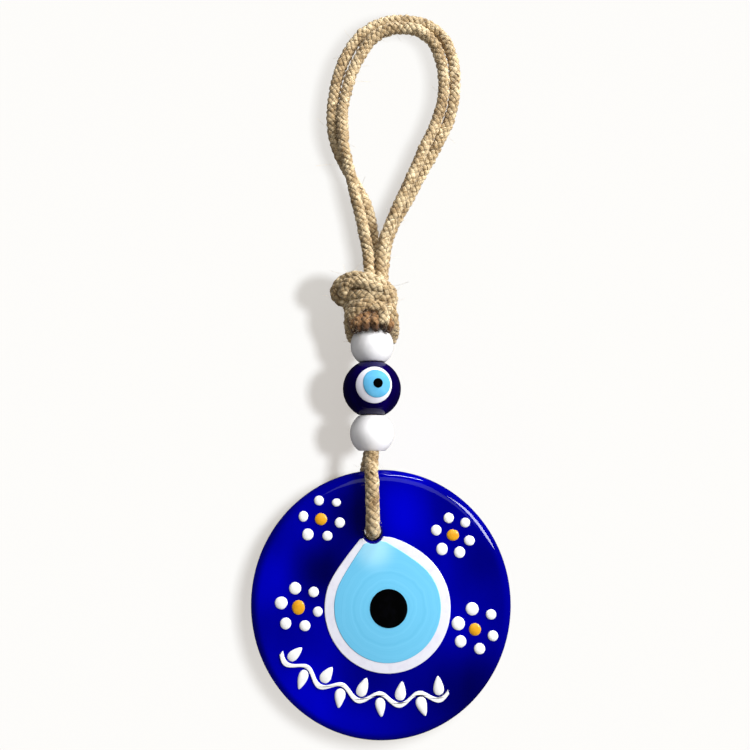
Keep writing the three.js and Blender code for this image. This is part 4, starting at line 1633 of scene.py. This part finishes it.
@dataclass(frozen=True)
class Lamp:
    """A rectangular lamp: its place and sides in metres, its power in watts, and whether gloss shows it."""

    name: str
    place: Point
    sides: tuple[float, float]
    power: float
    mirrored: bool = True

    def hang(self, target: Vector, lit: bpy.types.Collection) -> bpy.types.Object:
        """Hangs the lamp, aimed at a target.

        Args:
            target: The point that it faces.
            lit: The pieces that it lights.

        Returns:
            The lamp.
        """
        data = bpy.data.lights.new(self.name, "AREA")
        data.shape = "RECTANGLE"
        data.size, data.size_y = self.sides
        data.energy = self.power
        lamp = bpy.data.objects.new(self.name, data)
        lamp.location = self.place
        lamp.rotation_euler = (Vector(self.place) - target).to_track_quat("Z", "Y").to_euler()
        lamp.light_linking.receiver_collection = lit
        bpy.context.scene.collection.objects.link(lamp)
        return lamp


@dataclass
class Studio:
    """The camera, the pale wall and floor, and soft light from the right."""

    eye: Point = (-0.0104, -0.19255, -0.14264)
    pitch: float = 97.0
    lens: float = 28.8
    wall_gap: float = 0.10
    floor_drop: float = 0.12
    half: float = 0.7
    paint: Colour = (0.985, 0.975, 0.955)
    plaster_albedo: float = 0.15
    room: float = 0.28
    gleam: float = 0.02
    shadow_lamp: Point = (0.012, -0.19, -0.138)
    shadow_spread: float = 0.020
    shadow_tint: Colour = (0.925, 0.968, 1.0)
    shadow_share: float = 0.93
    shadow_power: float = 5.2
    aim: Point = (-0.008, 0.0, -0.13)
    lamps: tuple[Lamp, ...] = (
        Lamp("window", (0.42, -0.30, 0.04), (0.26, 0.26), 4.6),
        Lamp("front", (0.08, -0.70, 0.10), (0.5, 0.5), 0.9),
        Lamp("strip", (0.13, -0.15, 0.36), (0.30, 0.02), 1.6),
        Lamp("rear", (-0.10, 0.60, 0.0), (0.4, 0.4), 2.2, mirrored=False),
    )
    stage: list[bpy.types.Object] = field(default_factory=list)

    def build(self) -> None:
        """Makes the camera, the wall and the floor, and sets the view transform."""
        self.camera()
        self.wall()
        bpy.context.scene.view_settings.view_transform = "Standard"

    def pieces(self) -> list[bpy.types.Object]:
        """Everything made so far that isn't the camera, the wall or the floor."""
        return [item for item in bpy.context.scene.objects if item.type == "MESH" and item not in self.stage]

    def camera(self) -> None:
        """The camera, a little below the ornament's middle and looking slightly up."""
        data = bpy.data.cameras.new("camera")
        data.lens = self.lens
        data.clip_start = 0.005
        camera = bpy.data.objects.new("camera", data)
        camera.location = self.eye
        camera.rotation_euler = (math.radians(self.pitch), 0, 0)
        bpy.context.scene.collection.objects.link(camera)
        bpy.context.scene.camera = camera

    @staticmethod
    def gathered(name: str, items: Sequence[bpy.types.Object]) -> bpy.types.Collection:
        """A collection of some of the scene's objects."""
        collection = bpy.data.collections.new(name)
        for item in items:
            collection.objects.link(item)
        return collection

    def wall(self) -> None:
        """The wall behind, which takes the shadows, and a plain pale floor, seen from their front only."""
        half, y, z = self.half, self.wall_gap, CAD_LOW.z - self.floor_drop
        corners = {
            "wall": [(-half, y, -half), (half, y, -half), (half, y, half), (-half, y, half)],
            "floor": [(-half, -half, z), (half, -half, z), (half, half, z), (-half, half, z)],
        }
        for name, places in corners.items():
            sheet = put(name, mesh_of(name, places, [(0, 1, 2, 3)]))
            sheet.data.materials.append(self.plaster(name, self.shadow_share if name == "wall" else 0.0))
            sheet.visible_diffuse = False
            sheet.visible_glossy = False
            sheet.visible_shadow = False
            self.stage.append(sheet)

    def plaster(self, name: str, share: float) -> bpy.types.Material:
        """Pale plaster, with a glow of its own that evens out how the shadow lamps fall off across it.

        Args:
            name: What the sheet is.
            share: How much of its brightness the shadow lamps give where they are nearest.

        Returns:
            The material.
        """
        material = bpy.data.materials.new(f"pale_{name}")
        material.use_nodes = True
        tree = material.node_tree
        bench = Bench(tree)
        tree.nodes.remove(tree.nodes["Principled BSDF"])
        back = bench.add("ShaderNodeNewGeometry").outputs["Backfacing"]
        place = bench.here()
        lamp_x, lamp_y, lamp_z = self.shadow_lamp
        away = bench.vector("DISTANCE", place, (lamp_x, self.wall_gap, lamp_z))
        spread = bench.math("DIVIDE", away, self.wall_gap - lamp_y)
        fall = bench.math("POWER", bench.math("MULTIPLY_ADD", spread, spread, 1.0), -2.0)
        lit = bench.vector("SCALE", tuple(share * value for value in self.shadow_tint), scale=fall)
        unlit = tuple(value - self.plaster_albedo * self.room for value in self.paint)
        rest = bench.vector("MAXIMUM", bench.vector("SUBTRACT", unlit, lit), (0.0, 0.0, 0.0))
        glow = bench.out("ShaderNodeEmission", {"Color": rest})
        albedo = self.plaster_albedo if share else 0.0
        paint = bench.out("ShaderNodeBsdfDiffuse", {"Color": (albedo, albedo, albedo, 1.0)})
        plaster = bench.out("ShaderNodeAddShader", {0: glow, 1: paint})
        clear = bench.out("ShaderNodeBsdfTransparent")
        mixed = bench.out("ShaderNodeMixShader", {0: back, 1: plaster, 2: clear})
        tree.links.new(mixed, tree.nodes["Material Output"].inputs["Surface"])
        return material

    def lights(self, flat: Sequence[bpy.types.Object], thick: Sequence[bpy.types.Object]) -> None:
        """Hangs the lamps that light the ornament and the two small ones that draw its shadows on the wall.

        Args:
            flat: The pieces that lie close to the wall, with narrow shadows.
            thick: The pieces that stand out from it, with wide shadows.
        """
        others = self.gathered("all_but_walls", self.stage)
        for item in others.collection_objects:
            item.light_linking.link_state = "EXCLUDE"
        for lamp in self.lamps:
            light = lamp.hang(Vector(self.aim), others)
            light.visible_glossy = lamp.mirrored
        wall = self.gathered("lit_wall", self.stage[:1])
        x, y, z = self.shadow_lamp
        for side, name, size, blockers in ((-1, "narrow", 0.012, flat), (1, "wide", 0.010, thick)):
            place = (x + side * self.shadow_spread / 2, y, z)
            lamp = Lamp(f"{name}_shadow", place, (size, size), self.shadow_power / 2)
            light = lamp.hang(Vector((place[0], 0.0, z)), wall)
            light.data.color = self.shadow_tint
            light.light_linking.blocker_collection = self.gathered(f"{name}_blockers", blockers)
        self.world()

    def world(self) -> None:
        """The pale room: white to the camera, dim on the pieces and nearly dark in their gloss."""
        world = bpy.data.worlds.new("white_room")
        world.use_nodes = True
        bench = Bench(world.node_tree)
        rays = bench.add("ShaderNodeLightPath").outputs
        dim = bench.out(
            "ShaderNodeMapRange", {"Value": rays["Is Glossy Ray"], "To Min": self.room, "To Max": self.gleam}
        )
        strength = bench.math("MAXIMUM", dim, rays["Is Camera Ray"])
        background = world.node_tree.nodes["Background"]
        background.inputs["Color"].default_value = (*self.paint, 1.0)
        world.node_tree.links.new(strength, background.inputs["Strength"])
        bpy.context.scene.world = world


def main() -> None:
    """Builds the studio and the ornament."""
    logging.basicConfig(level=logging.INFO, format="%(name)s: %(message)s")
    studio = Studio()
    studio.build()
    maker = Cordmaker()
    HangingLoop().build(maker)
    Disc().build()
    flat = studio.pieces()
    Knot().build(maker)
    BeadCord().build(maker)
    Beads().build()
    thick = [piece for piece in studio.pieces() if piece not in flat]
    studio.lights(flat, thick)


if __name__ == "__main__":
    main()
